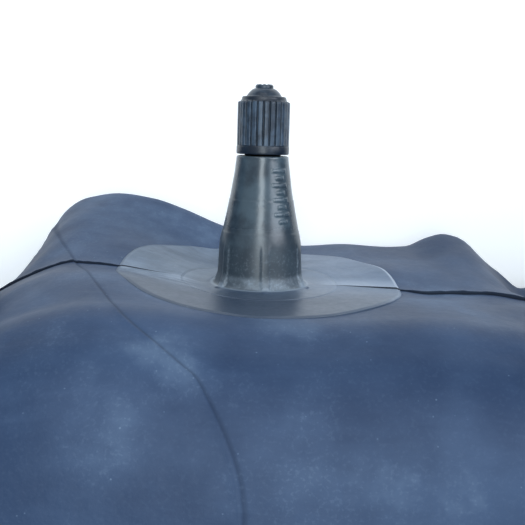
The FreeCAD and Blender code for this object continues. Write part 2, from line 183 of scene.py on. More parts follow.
def make_piece(
    name: str,
    points: np.ndarray,
    wrap_rows: bool,
    wrap_columns: bool,
    layers: dict[str, np.ndarray] | None = None,
    cover_ends: bool = False,
) -> bpy.types.Object:
    """Makes a smooth mesh object from a grid of points.

    Args:
        name: The object's name.
        points: Array of rows, columns and three coordinates, in metres.
        wrap_rows: Whether the last row joins the first.
        wrap_columns: Whether the last column joins the first.
        layers: Values to keep on the points, by the name that a material reads them by.
        cover_ends: Whether a flat face closes the first and the last row.

    Returns:
        The new object, linked to the scene, with its faces turned outward.
    """
    rows, columns = points.shape[:2]
    index = np.arange(rows * columns).reshape(rows, columns)
    row = np.arange(rows if wrap_rows else rows - 1)
    column = np.arange(columns if wrap_columns else columns - 1)
    here_r, here_c = np.meshgrid(row, column, indexing="ij")
    next_r, next_c = (here_r + 1) % rows, (here_c + 1) % columns
    quads = np.stack(
        [index[here_r, here_c], index[here_r, next_c], index[next_r, next_c], index[next_r, here_c]],
        axis=-1,
    ).reshape(-1, 4)
    faces = quads.tolist()
    if cover_ends:
        faces += [index[0, ::-1].tolist(), index[-1].tolist()]
    mesh = bpy.data.meshes.new(name)
    mesh.from_pydata(points.reshape(-1, 3).tolist(), [], faces)
    for layer, values in (layers or {}).items():
        kept = mesh.attributes.new(layer, "FLOAT", "POINT")
        kept.data.foreach_set("value", np.broadcast_to(values, (rows, columns)).astype("f").ravel())
    piece = bpy.data.objects.new(name, mesh)
    bpy.context.scene.collection.objects.link(piece)
    clean(piece)
    return piece


def clean(piece: bpy.types.Object) -> None:
    """Joins points that meet, drops empty faces, and turns the rest smooth and outward.

    Args:
        piece: The mesh object to clean.
    """
    work = bmesh.new()
    work.from_mesh(piece.data)
    bmesh.ops.remove_doubles(work, verts=work.verts, dist=1e-7)
    bmesh.ops.dissolve_degenerate(work, dist=1e-7, edges=work.edges)
    bmesh.ops.recalc_face_normals(work, faces=work.faces)
    if work.calc_volume(signed=True) < 0:
        bmesh.ops.reverse_faces(work, faces=work.faces)
    for face in work.faces:
        face.smooth = True
    work.to_mesh(piece.data)
    work.free()


# --------------------------------------------------------------------------- places


@dataclass(frozen=True)
class ValveFrame:
    """Where the valve stands on the ring.

    Attributes:
        face: Distance of the base patch's face from the ring's axis, mm.
        level: Height of the valve's axis above the floor, mm.
    """

    face: float
    level: float

    @classmethod
    def from_parts(cls) -> "ValveFrame":
        """Reads the valve's place from the rubber stem."""
        low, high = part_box("stem_cover")
        return cls(face=high[1] / MM, level=(low[2] + high[2]) / 2 / MM)

    def place(self, side: np.ndarray, out: np.ndarray, near: np.ndarray) -> np.ndarray:
        """Turns places in the valve's frame into metres in the row's frame.

        Args:
            side: Along the tube, mm.
            out: Along the valve from the patch's face, mm.
            near: Up from the valve's axis, mm.

        Returns:
            Array with one more axis, of x, y and z.
        """
        side, out, near = np.broadcast_arrays(side, out, near)
        return np.stack([-side, self.face - out, self.level + near], axis=-1) * MM

    def round(self, bearing: np.ndarray, radius: np.ndarray, out: np.ndarray) -> np.ndarray:
        """Places on rings about the valve's axis, in metres in the row's frame.

        Args:
            bearing: Angle about the axis from the near direction towards side, radians.
            radius: Distance from the axis, mm.
            out: Along the valve, mm.

        Returns:
            Array with one more axis, of x, y and z.
        """
        return self.place(radius * np.sin(bearing), out, radius * np.cos(bearing))


class Slot(Enum):
    """Names of the record's material slots."""

    TUBE = "tube_rubber"
    PATCH = "patch_rubber"
    STEM = "stem_rubber"
    BRASS = "brass"
    SPRING = "spring_steel"
    CAP = "cap_plastic"


# --------------------------------------------------------------------------- material graphs


class Value:
    """A number that varies over a surface: a node's socket that takes part in sums."""

    def __init__(self, graph: "Graph", socket: bpy.types.NodeSocket) -> None:
        """Keeps the socket and the graph that it belongs to."""
        self.graph = graph
        self.socket = socket

    def math(self, operation: str, *others: "Value | float") -> "Value":
        """Puts this value first into a Math node.

        Args:
            operation: The node's operation, such as "ADD".
            others: What goes into its other sockets.

        Returns:
            The node's result.
        """
        return self.graph.math(operation, self, *others)

    def __add__(self, other: "Value | float") -> "Value":
        """This value and another together."""
        return self.math("ADD", other)

    __radd__ = __add__

    def __sub__(self, other: "Value | float") -> "Value":
        """This value less another."""
        return self.math("SUBTRACT", other)

    def __rsub__(self, other: float) -> "Value":
        """A number less this value."""
        return self.graph.math("SUBTRACT", other, self)

    def __mul__(self, other: "Value | float") -> "Value":
        """This value times another."""
        return self.math("MULTIPLY", other)

    __rmul__ = __mul__

    def at_most(self, other: "Value | float") -> "Value":
        """The smaller of this value and another."""
        return self.math("MINIMUM", other)

    def rise(self, low: float, high: float) -> "Value":
        """Rises smoothly from 0 where this value is low to 1 where it is high.

        Args:
            low: Where it leaves 0. It may be above high, and the rise then runs the other way.
            high: Where it reaches 1.

        Returns:
            The rise.
        """
        node = self.graph.node(
            "ShaderNodeMapRange",
            {"interpolation_type": "SMOOTHSTEP", "clamp": True},
            {"Value": self, "From Min": low, "From Max": high},
        )
        return Value(self.graph, node.outputs["Result"])


class Graph:
    """The node tree of one material, from its coordinates to its Principled shader."""

    def __init__(self, name: str) -> None:
        """Makes an empty material with its shader and output.

        Args:
            name: The material's name.
        """
        self.material = bpy.data.materials.new(name)
        self.material.use_nodes = True
        self.tree = self.material.node_tree
        self.tree.nodes.clear()
        self.shader = self.node("ShaderNodeBsdfPrincipled", {}, {})
        end = self.node("ShaderNodeOutputMaterial", {}, {})
        self.tree.links.new(self.shader.outputs["BSDF"], end.inputs["Surface"])

    def node(
        self, kind: str, settings: dict[str, object], sockets: dict[str | int, object]
    ) -> bpy.types.Node:
        """Adds any node, sets it up, and then fills its sockets.

        Args:
            kind: The node's type.
            settings: Its properties, such as a Math node's operation.
            sockets: Inputs by name or number: a Value, another node's output, or a constant.

        Returns:
            The node.
        """
        node = self.tree.nodes.new(kind)
        for key, setting in settings.items():
            setattr(node, key, setting)
        for key, given in sockets.items():
            self.fill(node.inputs[key], given)
        return node

    def fill(self, socket: bpy.types.NodeSocket, given: object) -> None:
        """Links a value or an output to a socket, or sets the socket to a constant.

        Args:
            socket: The socket to fill.
            given: A Value, another node's output, or a constant.
        """
        if isinstance(given, Value):
            given = given.socket
        if isinstance(given, bpy.types.NodeSocket):
            self.tree.links.new(given, socket)
        elif isinstance(given, tuple) and socket.type == "RGBA":
            socket.default_value = (*given, 1.0)
        else:
            socket.default_value = given

    def math(self, operation: str, *given: Value | float) -> Value:
        """A Math node's result."""
        node = self.node("ShaderNodeMath", {"operation": operation}, dict(enumerate(given)))
        return Value(self, node.outputs[0])

    def where(self) -> bpy.types.NodeSocket:
        """Places in the row's frame, in metres."""
        return self.node("ShaderNodeTexCoord", {}, {}).outputs["Object"]

    def layer(self, name: str) -> Value:
        """A value that the mesh keeps on its points."""
        node = self.node("ShaderNodeAttribute", {"attribute_name": name}, {})
        return Value(self, node.outputs["Fac"])

    def grain(self, size: float, detail: float = 3.0, at: object = None, rough: float = 0.55) -> Value:
        """Cloudy noise.

        Args:
            size: How large its clouds are, mm.
            detail: How many finer layers it has.
            at: The coordinates it is read at. The place in the row's frame if left out.
            rough: How strong the finer layers are.

        Returns:
            The noise, about 0.5 on average.
        """
        sockets = {
            "Vector": self.where() if at is None else at,
            "Scale": 1.0 / (size * MM),
            "Detail": detail,
            "Roughness": rough,
        }
        return Value(self, self.node("ShaderNodeTexNoise", {}, sockets).outputs["Fac"])

    def specks(self, size: float, at: object = None) -> Value:
        """Distance from scattered points, 0 at each, size mm apart."""
        sockets = {"Vector": self.where() if at is None else at, "Scale": 1.0 / (size * MM)}
        return Value(self, self.node("ShaderNodeTexVoronoi", {}, sockets).outputs["Distance"])

    def vector(self, x: Value | float, y: Value | float, z: Value | float) -> bpy.types.NodeSocket:
        """Three values as coordinates."""
        return self.node("ShaderNodeCombineXYZ", {}, {"X": x, "Y": y, "Z": z}).outputs[0]

    def parts(self) -> tuple[Value, Value, Value]:
        """The place's x, y and z, in metres."""
        node = self.node("ShaderNodeSeparateXYZ", {}, {0: self.where()})
        return tuple(Value(self, node.outputs[axis]) for axis in "XYZ")

    def blend(self, factor: Value, low: object, high: object) -> bpy.types.NodeSocket:
        """Mixes two colours over the surface.

        Args:
            factor: 0 where the result is low, and 1 where it is high.
            low: A colour or a node's output.
            high: A colour or a node's output.

        Returns:
            The mixed colour.
        """
        settings = {"data_type": "RGBA", "clamp_factor": True}
        node = self.node("ShaderNodeMix", settings, {0: factor, 6: low, 7: high})
        return node.outputs[2]

    def relief(self, *heights: tuple[Value, float]) -> None:
        """Feeds the shader's normal from one or more height fields.

        Args:
            heights: Pairs of a value and the height in mm that a whole step of it stands.
        """
        total: Value | None = None
        for value, height in heights:
            part = value * (height * MM)
            total = part if total is None else total + part
        bump = self.node("ShaderNodeBump", {}, {"Strength": 1.0, "Distance": 1.0, "Height": total})
        self.tree.links.new(bump.outputs["Normal"], self.shader.inputs["Normal"])

    def finish(self, **sockets: object) -> bpy.types.Material:
        """Fills the shader's sockets and gives the material.

        Args:
            sockets: What goes into each socket, by its name with _ for a space.

        Returns:
            The material.
        """
        for key, given in sockets.items():
            self.fill(self.shader.inputs[key.replace("_", " ")], given)
        return self.material


# --------------------------------------------------------------------------- finishes


@dataclass(frozen=True)
class TubeRubber:
    """Butyl rubber of the tube: blue-grey, satin, with clouds and specks of talc."""

    deep: Colour = (0.016, 0.035, 0.080)
    worn: Colour = (0.037, 0.067, 0.130)
    # talc also colours the painted highlight on the mould line's flash and the painted sheen on the humps.
    talc: Colour = (0.112, 0.165, 0.245)
    # seam colour: painted shade and dirt in the mould line's crease and along the splice.
    seam_shade_and_dirt: Colour = (0.004, 0.006, 0.010)

    def make(self) -> bpy.types.Material:
        """Builds the material.

        Returns:
            The finish as a material.
        """
        g = Graph("tube_rubber_finish")
        x, y, _ = g.parts()
        across = g.layer("across")
        along = g.vector(x * 0.16, y * 0.16, across)
        streaks = g.grain(5.0, 4.0, along, 0.6)
        broad = g.grain(38.0, 3.0)
        patchy = g.grain(14.0, 4.0)
        fine = g.grain(1.6, 2.0)
        clouds = 0.50 * broad + 0.35 * patchy + 0.15 * streaks
        body = g.blend(clouds.rise(0.38, 0.62), self.deep, self.worn)
        cloud = patchy.rise(0.54, 0.74) * broad.rise(0.42, 0.62) * 0.55
        # Pale on the swollen humps beside the valve: partly talc dust, partly painted sheen.
        crest = g.layer("crest").rise(0.15, 0.9) * patchy.rise(0.42, 0.62) * 0.22
        dust_and_highlight = (cloud + crest + streaks.rise(0.62, 0.80) * 0.16) * (0.7 + 0.6 * fine)
        powder = g.grain(0.6, 2.0).rise(0.50, 0.75) * (0.06 + 0.16 * patchy.rise(0.45, 0.70))
        dots = (1.0 - g.specks(1.9).rise(0.03, 0.11)) * fine.rise(0.49, 0.60) * 0.6
        # Painted highlight: a pale edge along the top of the mould line's flash.
        lip = across.rise(-0.0006, -0.0002) * across.rise(0.0, -0.0001) * fine.rise(0.48, 0.62) * 0.6
        talc_and_highlight = g.blend((dust_and_highlight + dots + powder + lip).at_most(1.0), body, self.talc)
        # Painted shade and dirt: the seam mask darkens the mould line's crease and the splice.
        seam_shade_and_dirt = g.layer("seam_shade_and_dirt")
        g.relief((fine, 0.05), (g.grain(0.45, 2.0), 0.018), (streaks, 0.05), (patchy, 0.14))
        return g.finish(
            Base_Color=g.blend(seam_shade_and_dirt * 0.95, talc_and_highlight, self.seam_shade_and_dirt),
            Roughness=(0.44 + 0.16 * dust_and_highlight + 0.10 * fine + 0.45 * seam_shade_and_dirt).at_most(1.0),
            Specular_IOR_Level=0.22,
        )


@dataclass(frozen=True)
class PatchRubber:
    """The base patch: paler, buffed, with mottling, rubbed flecks and a painted highlight along its rim.

    A faint ring that its mould pressed lies at press_mark, mm from the valve's axis.
    """

    body: Colour = (0.050, 0.082, 0.128)
    pale: Colour = (0.112, 0.158, 0.222)
    dull: Colour = (0.020, 0.036, 0.066)
    # dull is the colour of the patch's painted shade.
    blue: Colour = (0.090, 0.138, 0.220)
    # rim is a pale colour for talc flecks, the pale band behind the mould line and the painted highlight
    # along the rim.
    rim: Colour = (0.30, 0.36, 0.45)
    # seam colour: painted shade and dirt along the mould line.
    seam_shade_and_dirt: Colour = (0.004, 0.006, 0.010)
    press_mark: float = 15.4

    def paint(self, g: Graph) -> tuple[bpy.types.NodeSocket, Value]:
        """Builds the patch's colour and roughness in a material.

        Args:
            g: The material, on a mesh that keeps reach, side and near.

        Returns:
            The colour and the roughness.
        """
        reach, side, near = g.layer("reach"), g.layer("side"), g.layer("near")
        sweep = g.grain(7.0, 4.0, g.vector(side * 0.25 * MM, near * MM, 0.0), 0.6)
        mottle = g.grain(9.0, 4.0)
        fine = g.grain(0.9, 2.0)
        rubbed = g.grain(2.4, 4.0, g.vector(side * 0.35 * MM, near * MM, 0.3), 0.65)
        mixture = 0.4 * mottle + 0.3 * sweep + 0.3 * rubbed
        mixed = g.blend(mixture.rise(0.40, 0.62), self.body, self.pale)
        base = g.blend(side.rise(2.0, 16.0) * 0.55, mixed, self.blue)
        # Painted shade: darker towards the patch's front and round the stem's foot, with a faint painted
        # reflection of the stem in front of it.
        middle = side.math("ABSOLUTE").rise(10.0, 3.0) * near.rise(8.0, 13.0) * near.rise(26.0, 20.0)
        front = near.rise(1.0, 17.0) * (0.88 - 0.22 * side.rise(6.0, 26.0)) + middle * 0.04
        shade = g.blend((front + 0.2 * (1.0 - reach.rise(9.5, 15.0))).at_most(1.0), base, self.dull)
        pressed = 1.0 - ((reach - self.press_mark) * 1.6).math("ABSOLUTE").rise(0.0, 1.0)
        ring = pressed * mottle.rise(0.40, 0.60)
        ringed = g.blend(ring * 0.14, shade, self.pale)
        flecks = (1.0 - g.specks(0.9).rise(0.06, 0.22)) * sweep.rise(0.44, 0.58)
        front_left = near.rise(-1.0, 1.0) * near.rise(15.0, 8.0) * side.rise(-9.0, -13.0)
        dusty = side.rise(-4.0, -12.0) + 0.5 * side.rise(8.0, 16.0)
        talc = flecks * (0.25 + 0.65 * front_left) * dusty
        cluster = front_left * near.rise(12.0, 5.0) * rubbed.rise(0.46, 0.60) * 0.40
        flecked = g.blend((talc + cluster).at_most(1.0), ringed, self.rim)
        band = near.rise(-5.5, -1.0) * near.rise(0.05, -0.05) * side.rise(10.0, 17.0)
        banded = g.blend(band * (0.30 + 0.35 * mottle), flecked, self.rim)
        # Painted highlight: a pale line along the rim's far and right edges.
        far = near.rise(2.0, -2.0) * side.rise(4.0, 18.0)
        rim = reach.rise(27.05, 27.4) * (far + 0.35 * side.rise(22.0, 26.0)).at_most(1.0)
        rim_highlighted = g.blend(rim * (0.4 + 0.5 * sweep.rise(0.30, 0.50)), banded, self.rim)
        # Painted shade and dirt along the mould line where it crosses the patch.
        line = near.rise(-0.12, 0.06) * near.rise(0.36, 0.16) * reach.rise(9.0, 11.0)
        marked = g.blend(line * (0.30 + 0.35 * side.rise(6.0, 12.0)), rim_highlighted, self.seam_shade_and_dirt)
        return marked, 0.38 - 0.12 * sweep + 0.14 * fine

    def make(self) -> bpy.types.Material:
        """Builds the material.

        Returns:
            The finish as a material.
        """
        g = Graph("patch_rubber_finish")
        colour, rough = self.paint(g)
        # The seam mask adds painted shade and dirt along the mould line.
        seam_shade_and_dirt = g.layer("seam_shade_and_dirt")
        g.relief((g.grain(0.9, 2.0), 0.03), (g.grain(6.0, 3.0), 0.10))
        return g.finish(
            Base_Color=g.blend(seam_shade_and_dirt * 0.95, colour, self.seam_shade_and_dirt),
            Roughness=(rough + 0.5 * seam_shade_and_dirt).at_most(1.0),
            Specular_IOR_Level=0.45,
        )


@dataclass(frozen=True)
class StemRubber:
    """Moulded rubber of the stem: near black, satin, with dusty corners round its foot."""

    deep: Colour = (0.022, 0.034, 0.046)
    worn: Colour = (0.050, 0.076, 0.096)
    # talc also colours the painted highlight on the rib edges and on the foot ring.
    talc: Colour = (0.22, 0.27, 0.32)
    foot: PatchRubber = PatchRubber()

    def make(self) -> bpy.types.Material:
        """Builds the material.

        Returns:
            The finish as a material.
        """
        g = Graph("stem_rubber_finish")
        out, edge, reach = g.layer("out"), g.layer("edge"), g.layer("reach")
        cloud = g.grain(4.5, 4.0)
        fine = g.grain(0.5, 2.0)
        foot = 1.0 - out.rise(5.0, 14.0)
        body = g.blend(cloud.rise(0.36, 0.66) * (1.0 - 0.7 * foot), self.deep, self.worn)
        band = (1.0 - out.rise(1.8, 3.2)) * (0.35 + 0.65 * cloud.rise(0.40, 0.62)) * (0.4 + fine)
        shank = (1.0 - out.rise(5.5, 10.5)) * (0.02 + 0.4 * fine.rise(0.52, 0.72))
        dots = (1.0 - g.specks(0.8).rise(0.05, 0.18)) * cloud.rise(0.46, 0.60)
        # The rib edges are painted pale, partly as dust and partly as a painted highlight.
        dust_and_highlight = 0.6 * band + shank * 0.4 + edge * fine.rise(0.30, 0.60) * 0.4
        dust_and_highlight = (dust_and_highlight + dots * (1.0 - out.rise(2.5, 10.0)) * 0.22).at_most(1.0)
        colour, rough = self.foot.paint(g)
        flange = reach.rise(8.9, 9.6)
        plain = 0.22 + 0.30 * dust_and_highlight + 0.06 * cloud + 0.16 * foot
        # Painted highlight: a pale ring on the edge of the stem's foot ring.
        ring = reach.rise(9.0, 9.25) * reach.rise(9.9, 9.5)
        dusted_and_highlit = g.blend(dust_and_highlight, body, self.talc)
        ring_highlighted = g.blend(ring * (0.35 + 0.4 * cloud), g.blend(flange, dusted_and_highlit, colour), self.talc)
        g.relief((fine, 0.014), (cloud, 0.015))
        return g.finish(
            Base_Color=ring_highlighted,
            Roughness=plain + flange * (rough - plain),
            Specular_IOR_Level=0.65,
        )


@dataclass(frozen=True)
class CapPlastic:
    """Moulded plastic of the cap: dark slate, rubbed along its ribs."""

    deep: Colour = (0.006, 0.012, 0.022)
    worn: Colour = (0.042, 0.070, 0.106)

    def make(self) -> bpy.types.Material:
        """Builds the material.

        Returns:
            The finish as a material.
        """
        g = Graph("cap_plastic_finish")
        edge = g.layer("edge")
        cloud = g.grain(2.2, 3.0)
        fine = g.grain(0.35, 2.0)
        rub = edge * (0.30 + 0.8 * cloud.rise(0.36, 0.66)) + 0.20 * cloud.rise(0.45, 0.70)
        g.relief((fine, 0.012), (cloud, 0.02))
        return g.finish(
            Base_Color=g.blend(rub.at_most(1.0), self.deep, self.worn),
            Roughness=0.24 + 0.14 * fine + 0.10 * cloud,
            Specular_IOR_Level=0.5,
        )


@dataclass(frozen=True)
class TurnedBrass:
    """Brass from the lathe: fine turning rings, a little tarnish, and a painted shadow at the thread's
    foot, in the gap under the cap.

    The painted shadow starts at a set distance from the ring's axis, in metres, and runs towards the
    patch.
    """

    clean: Colour = (0.72, 0.50, 0.20)
    brown: Colour = (0.34, 0.20, 0.08)
    gap_shadow: Colour = (0.02, 0.018, 0.016)
    gap_shadow_from: float = 0.1567

    def make(self) -> bpy.types.Material:
        """Builds the material.

        Returns:
            The finish as a material.
        """
        g = Graph("turned_brass_finish")
        _, y, _ = g.parts()
        rings = g.grain(0.12, 2.0, g.vector(0.0, y, 0.0))
        cloud = g.grain(2.0, 4.0)
        tarnished = g.blend(cloud.rise(0.48, 0.72) * 0.7, self.clean, self.brown)
        # Painted shadow: the brass in the gap between the rubber and the cap is blackened.
        gap_shadowed = y.rise(self.gap_shadow_from - 0.0004, self.gap_shadow_from) * 0.95
        g.relief((rings, 0.006), (cloud, 0.004))
        return g.finish(
            Base_Color=g.blend(gap_shadowed, tarnished, self.gap_shadow),
            Metallic=1.0,
            Roughness=0.22 + 0.18 * cloud + 0.08 * rings,
        )


@dataclass(frozen=True)
class SealRubber:
    """Black rubber of the small seals, with a dusting."""

    black: Colour = (0.012, 0.012, 0.014)
    grey: Colour = (0.050, 0.052, 0.056)

    def make(self) -> bpy.types.Material:
        """Builds the material.

        Returns:
            The finish as a material.
        """
        g = Graph("seal_rubber_finish")
        cloud = g.grain(0.9, 3.0)
        g.relief((g.grain(0.2, 2.0), 0.008))
        return g.finish(
            Base_Color=g.blend(cloud.rise(0.45, 0.70), self.black, self.grey),
            Roughness=0.55 + 0.2 * cloud,
        )


@dataclass(frozen=True)
class SpringSteel:
    """Drawn spring wire with fine die lines."""

    bright: Colour = (0.62, 0.63, 0.65)
    dull: Colour = (0.30, 0.30, 0.31)

    def make(self) -> bpy.types.Material:
        """Builds the material.

        Returns:
            The finish as a material.
        """
        g = Graph("spring_steel_finish")
        cloud = g.grain(0.6, 3.0)
        g.relief((g.grain(0.08, 2.0), 0.003))
        return g.finish(
            Base_Color=g.blend(cloud.rise(0.45, 0.70), self.bright, self.dull),
            Metallic=1.0,
            Roughness=0.26 + 0.15 * cloud,
        )


@dataclass(frozen=True)
class StudioPaper:
    """The pale sheet that the tube lies on."""

    pale: Colour = (0.88, 0.90, 0.91)
    shade: Colour = (0.86, 0.88, 0.89)
    glow: float = 0.32

    def make(self) -> bpy.types.Material:
        """Builds the material.

        Returns:
            The finish as a material.
        """
        g = Graph("studio_paper_finish")
        sheet = g.blend(g.grain(300.0, 2.0), self.pale, self.shade)
        return g.finish(Base_Color=sheet, Roughness=0.8, Emission_Color=sheet, Emission_Strength=self.glow)


# --------------------------------------------------------------------------- the soft wall


@dataclass(frozen=True)
class Dent:
    """A place where the slack inner wall has buckled into the tube.

    Attributes:
        angle: Its middle, degrees round the ring from the valve.
        width: Half its width, degrees.
        depth: How far it goes in, mm.
        lean: How far its middle moves for each 50 mm of height, degrees.
        level: The height where it is deepest, mm.
    """

    angle: float
    width: float
    depth: float
    lean: float
    level: float


@dataclass(frozen=True)
class SoftWall:
    """The shape of the tube's slack wall: swells beside the stiff patch, and dents all round.

    Attributes:
        valve: The valve's frame.
        radius: The inner wall's radius where it is neither swollen nor dented, mm.
        patch_radius: Radius of the base patch that keeps the wall flat, mm.
        level_to: Distance from the valve up to which the wall is level, mm.
        shaped_from: Distance from which the rows have their whole height, mm.
        valve_turn: How far round the ring the rows are read, each way, radians.
        rounds: How many times a ray's meeting with the wall is corrected.
        valve_reach: Where the rows stop counting and the dents take over, mm each way.
        rows: Height of the wall along the tube, by how far near the row is. Each row is pairs of
            side and out, mm.
        dent_tall: Half the height of a dent, mm.
        dents: The other buckles of the inner wall.
    """

    valve: ValveFrame
    radius: float = 185.0
    patch_radius: float = 27.8
    level_to: float = 9.0
    shaped_from: float = 17.0
    valve_turn: float = 0.55
    rounds: int = 12
    valve_reach: tuple[float, float] = (58.0, 84.0)
    rows: tuple[tuple[float, Knots], ...] = (
        (-35.0, ((-64, -14.8), (-59, -8.4), (-54, -2.7), (-51.5, 1.2), (-49, 7.3), (-46.5, 10.3),
                 (-41, 13.3), (-34, 14.4), (-26, 13.4), (-19, 11.2), (-10, 7.6), (0, 4.5), (10, 3.0),
                 (20, 3.6), (30, 3.2), (35, 3.5), (40, 5.7), (43.8, 6.8), (47.5, 5.9), (50, 4.3),
                 (52.2, 2.4), (57, -1.6), (64, -6.2))),
        (-22.0, ((-64, -13.9), (-57, -7.0), (-52, -1.5), (-49, 3.3), (-44, 8.0), (-38, 10.0), (-30, 8.8),
                 (-24, 6.8), (-16.5, 4.0), (-9.3, 1.6), (0, 1.3), (13, 2.2), (20, 2.8), (28, 2.4),
                 (36, 2.4), (43, 3.5), (47, 3.3), (50, 1.6), (64, -10.0))),
        (-10.0, ((-64, -13.0), (-57, -7.0), (-51, -2.0), (-43.5, 4.5), (-37, 5.9), (-30, 5.9), (-25, 4.9),
                 (-18, 2.9), (-9, 0.9), (0, 0.5), (13, 1.3), (20, 1.5), (26, 2.2), (34, 1.4), (41, 1.2),
                 (47, 0.4), (52, -1.5), (64, -9.0))),
        (0.0, ((-64, -11.0), (-57, -7.0), (-51.4, -2.7), (-47.3, -0.5), (-41.4, 2.2), (-36.4, 3.5),
               (-31.5, 3.4), (-27.9, 3.1), (-21.6, 2.2), (-13.7, 1.2), (-8, 0.5), (0, 0), (8, 0.1),
               (16, 0.2), (24, 0.0), (28, -0.1), (34, -0.8), (42, -0.7), (47.8, -1.1), (52.6, -1.6),
               (64, -7.0))),
        (12.0, ((-64, -12.5), (-57, -6.8), (-50, -3.0), (-42, 1.6), (-36, 3.3), (-30, 3.8), (-25, 3.6),
                (-20, 2.7), (-12, 1.0), (0, 0.1), (10, 0.1), (20, 0.5), (27, 0.5), (41, -0.6), (48, -1.2),
                (52, -2.0), (64, -7.5))),
        (26.0, ((-64, -14.0), (-50, -6.5), (-37, -0.3), (-26, 1.8), (-18, 1.6), (-9.5, 0.8), (0, 0.2),
                (10, 0.1), (20, 0.5), (27, 0.6), (41, -0.6), (51, -2.8), (64, -8.0))),
    )
    dent_tall: float = 62.0
    dents: tuple[Dent, ...] = (
        Dent(21.5, 6.0, 17.0, -1.0, 45.0),
        Dent(-21.0, 6.0, 16.0, 1.5, 50.0),
        Dent(47.0, 6.5, 10.0, 2.0, 60.0),
        Dent(-51.0, 7.5, 13.0, -2.0, 40.0),
        Dent(79.0, 8.0, 15.0, -1.5, 55.0),
        Dent(-84.0, 6.0, 9.0, 1.0, 62.0),
        Dent(109.0, 5.5, 9.0, 2.5, 42.0),
        Dent(-113.0, 8.5, 14.0, -1.0, 50.0),
        Dent(141.0, 8.5, 12.0, 1.5, 58.0),
        Dent(-147.0, 6.5, 10.0, -2.5, 45.0),
        Dent(177.0, 7.0, 12.0, 1.0, 52.0),
    )

    def height(self, side: np.ndarray, near: np.ndarray) -> np.ndarray:
        """How far the wall near the valve stands out from the patch's plane.

        Args:
            side: Along the tube, mm.
            near: Up from the valve's axis, mm.

        Returns:
            The height, mm. It is level round the stem.
        """
        side, near = np.broadcast_arrays(side, near)
        levels = [level for level, _ in self.rows]
        rows = [curve_through(side, knots) for _, knots in self.rows]
        reach = np.hypot(side, near)
        return between_rows(near, levels, rows) * ease(reach, self.level_to, self.shaped_from)

    def _reach_wall(self, turn: np.ndarray, near: np.ndarray) -> np.ndarray:
        """How far from the ring's axis a level ray meets the wall near the valve.

        Args:
            turn: The ray's angle from the valve, radians.
            near: Its height above the valve's axis, mm.

        Returns:
            The distance, mm, found by a few rounds of correction.
        """
        far = np.full(np.broadcast(turn, near).shape, self.radius)
        for _ in range(self.rounds):
            far = (self.valve.face - self.height(far * np.sin(turn), near)) / np.cos(turn)
        return far

    def dented(self, angle: np.ndarray, level: np.ndarray) -> np.ndarray:
        """How far the inner wall is buckled in, away from the valve.

        Args:
            angle: Round the ring from the valve, degrees.
            level: Height above the floor, mm.

        Returns:
            The depth, mm.
        """
        depth = np.zeros(np.broadcast(angle, level).shape)
        for dent in self.dents:
            middle = dent.angle + dent.lean * (level - self.valve.level) / 50.0
            away = (angle - middle + 180.0) % 360.0 - 180.0
            tall = bell(level - dent.level, self.dent_tall)
            depth = depth + dent.depth * bell(away, dent.width, 1.7) * tall
        return depth

    def swell(self, angle: np.ndarray, level: np.ndarray) -> np.ndarray:
        """How far the inner wall stands towards the ring's axis from its plain radius.

        Args:
            angle: Round the ring from the valve, degrees.
            level: Height above the floor, mm.

        Returns:
            The swell, mm, below 0 where the wall is dented.
        """
        turn = np.radians(angle)
        side = self.radius * np.sin(turn)
        front = np.cos(turn) > 0
        clipped = np.clip(turn, -self.valve_turn, self.valve_turn)
        by_valve = self.radius - self._reach_wall(clipped, level - self.valve.level)
        ripple = 1.3 * np.sin(7 * turn + 0.4) + 0.8 * np.sin(13 * turn + 0.03 * level)
        elsewhere = 2.5 + ripple - self.dented(angle, level)
        beside = ease(np.abs(side), self.valve_reach[1], self.valve_reach[0]) * front
        return beside * by_valve + (1.0 - beside) * elsewhere


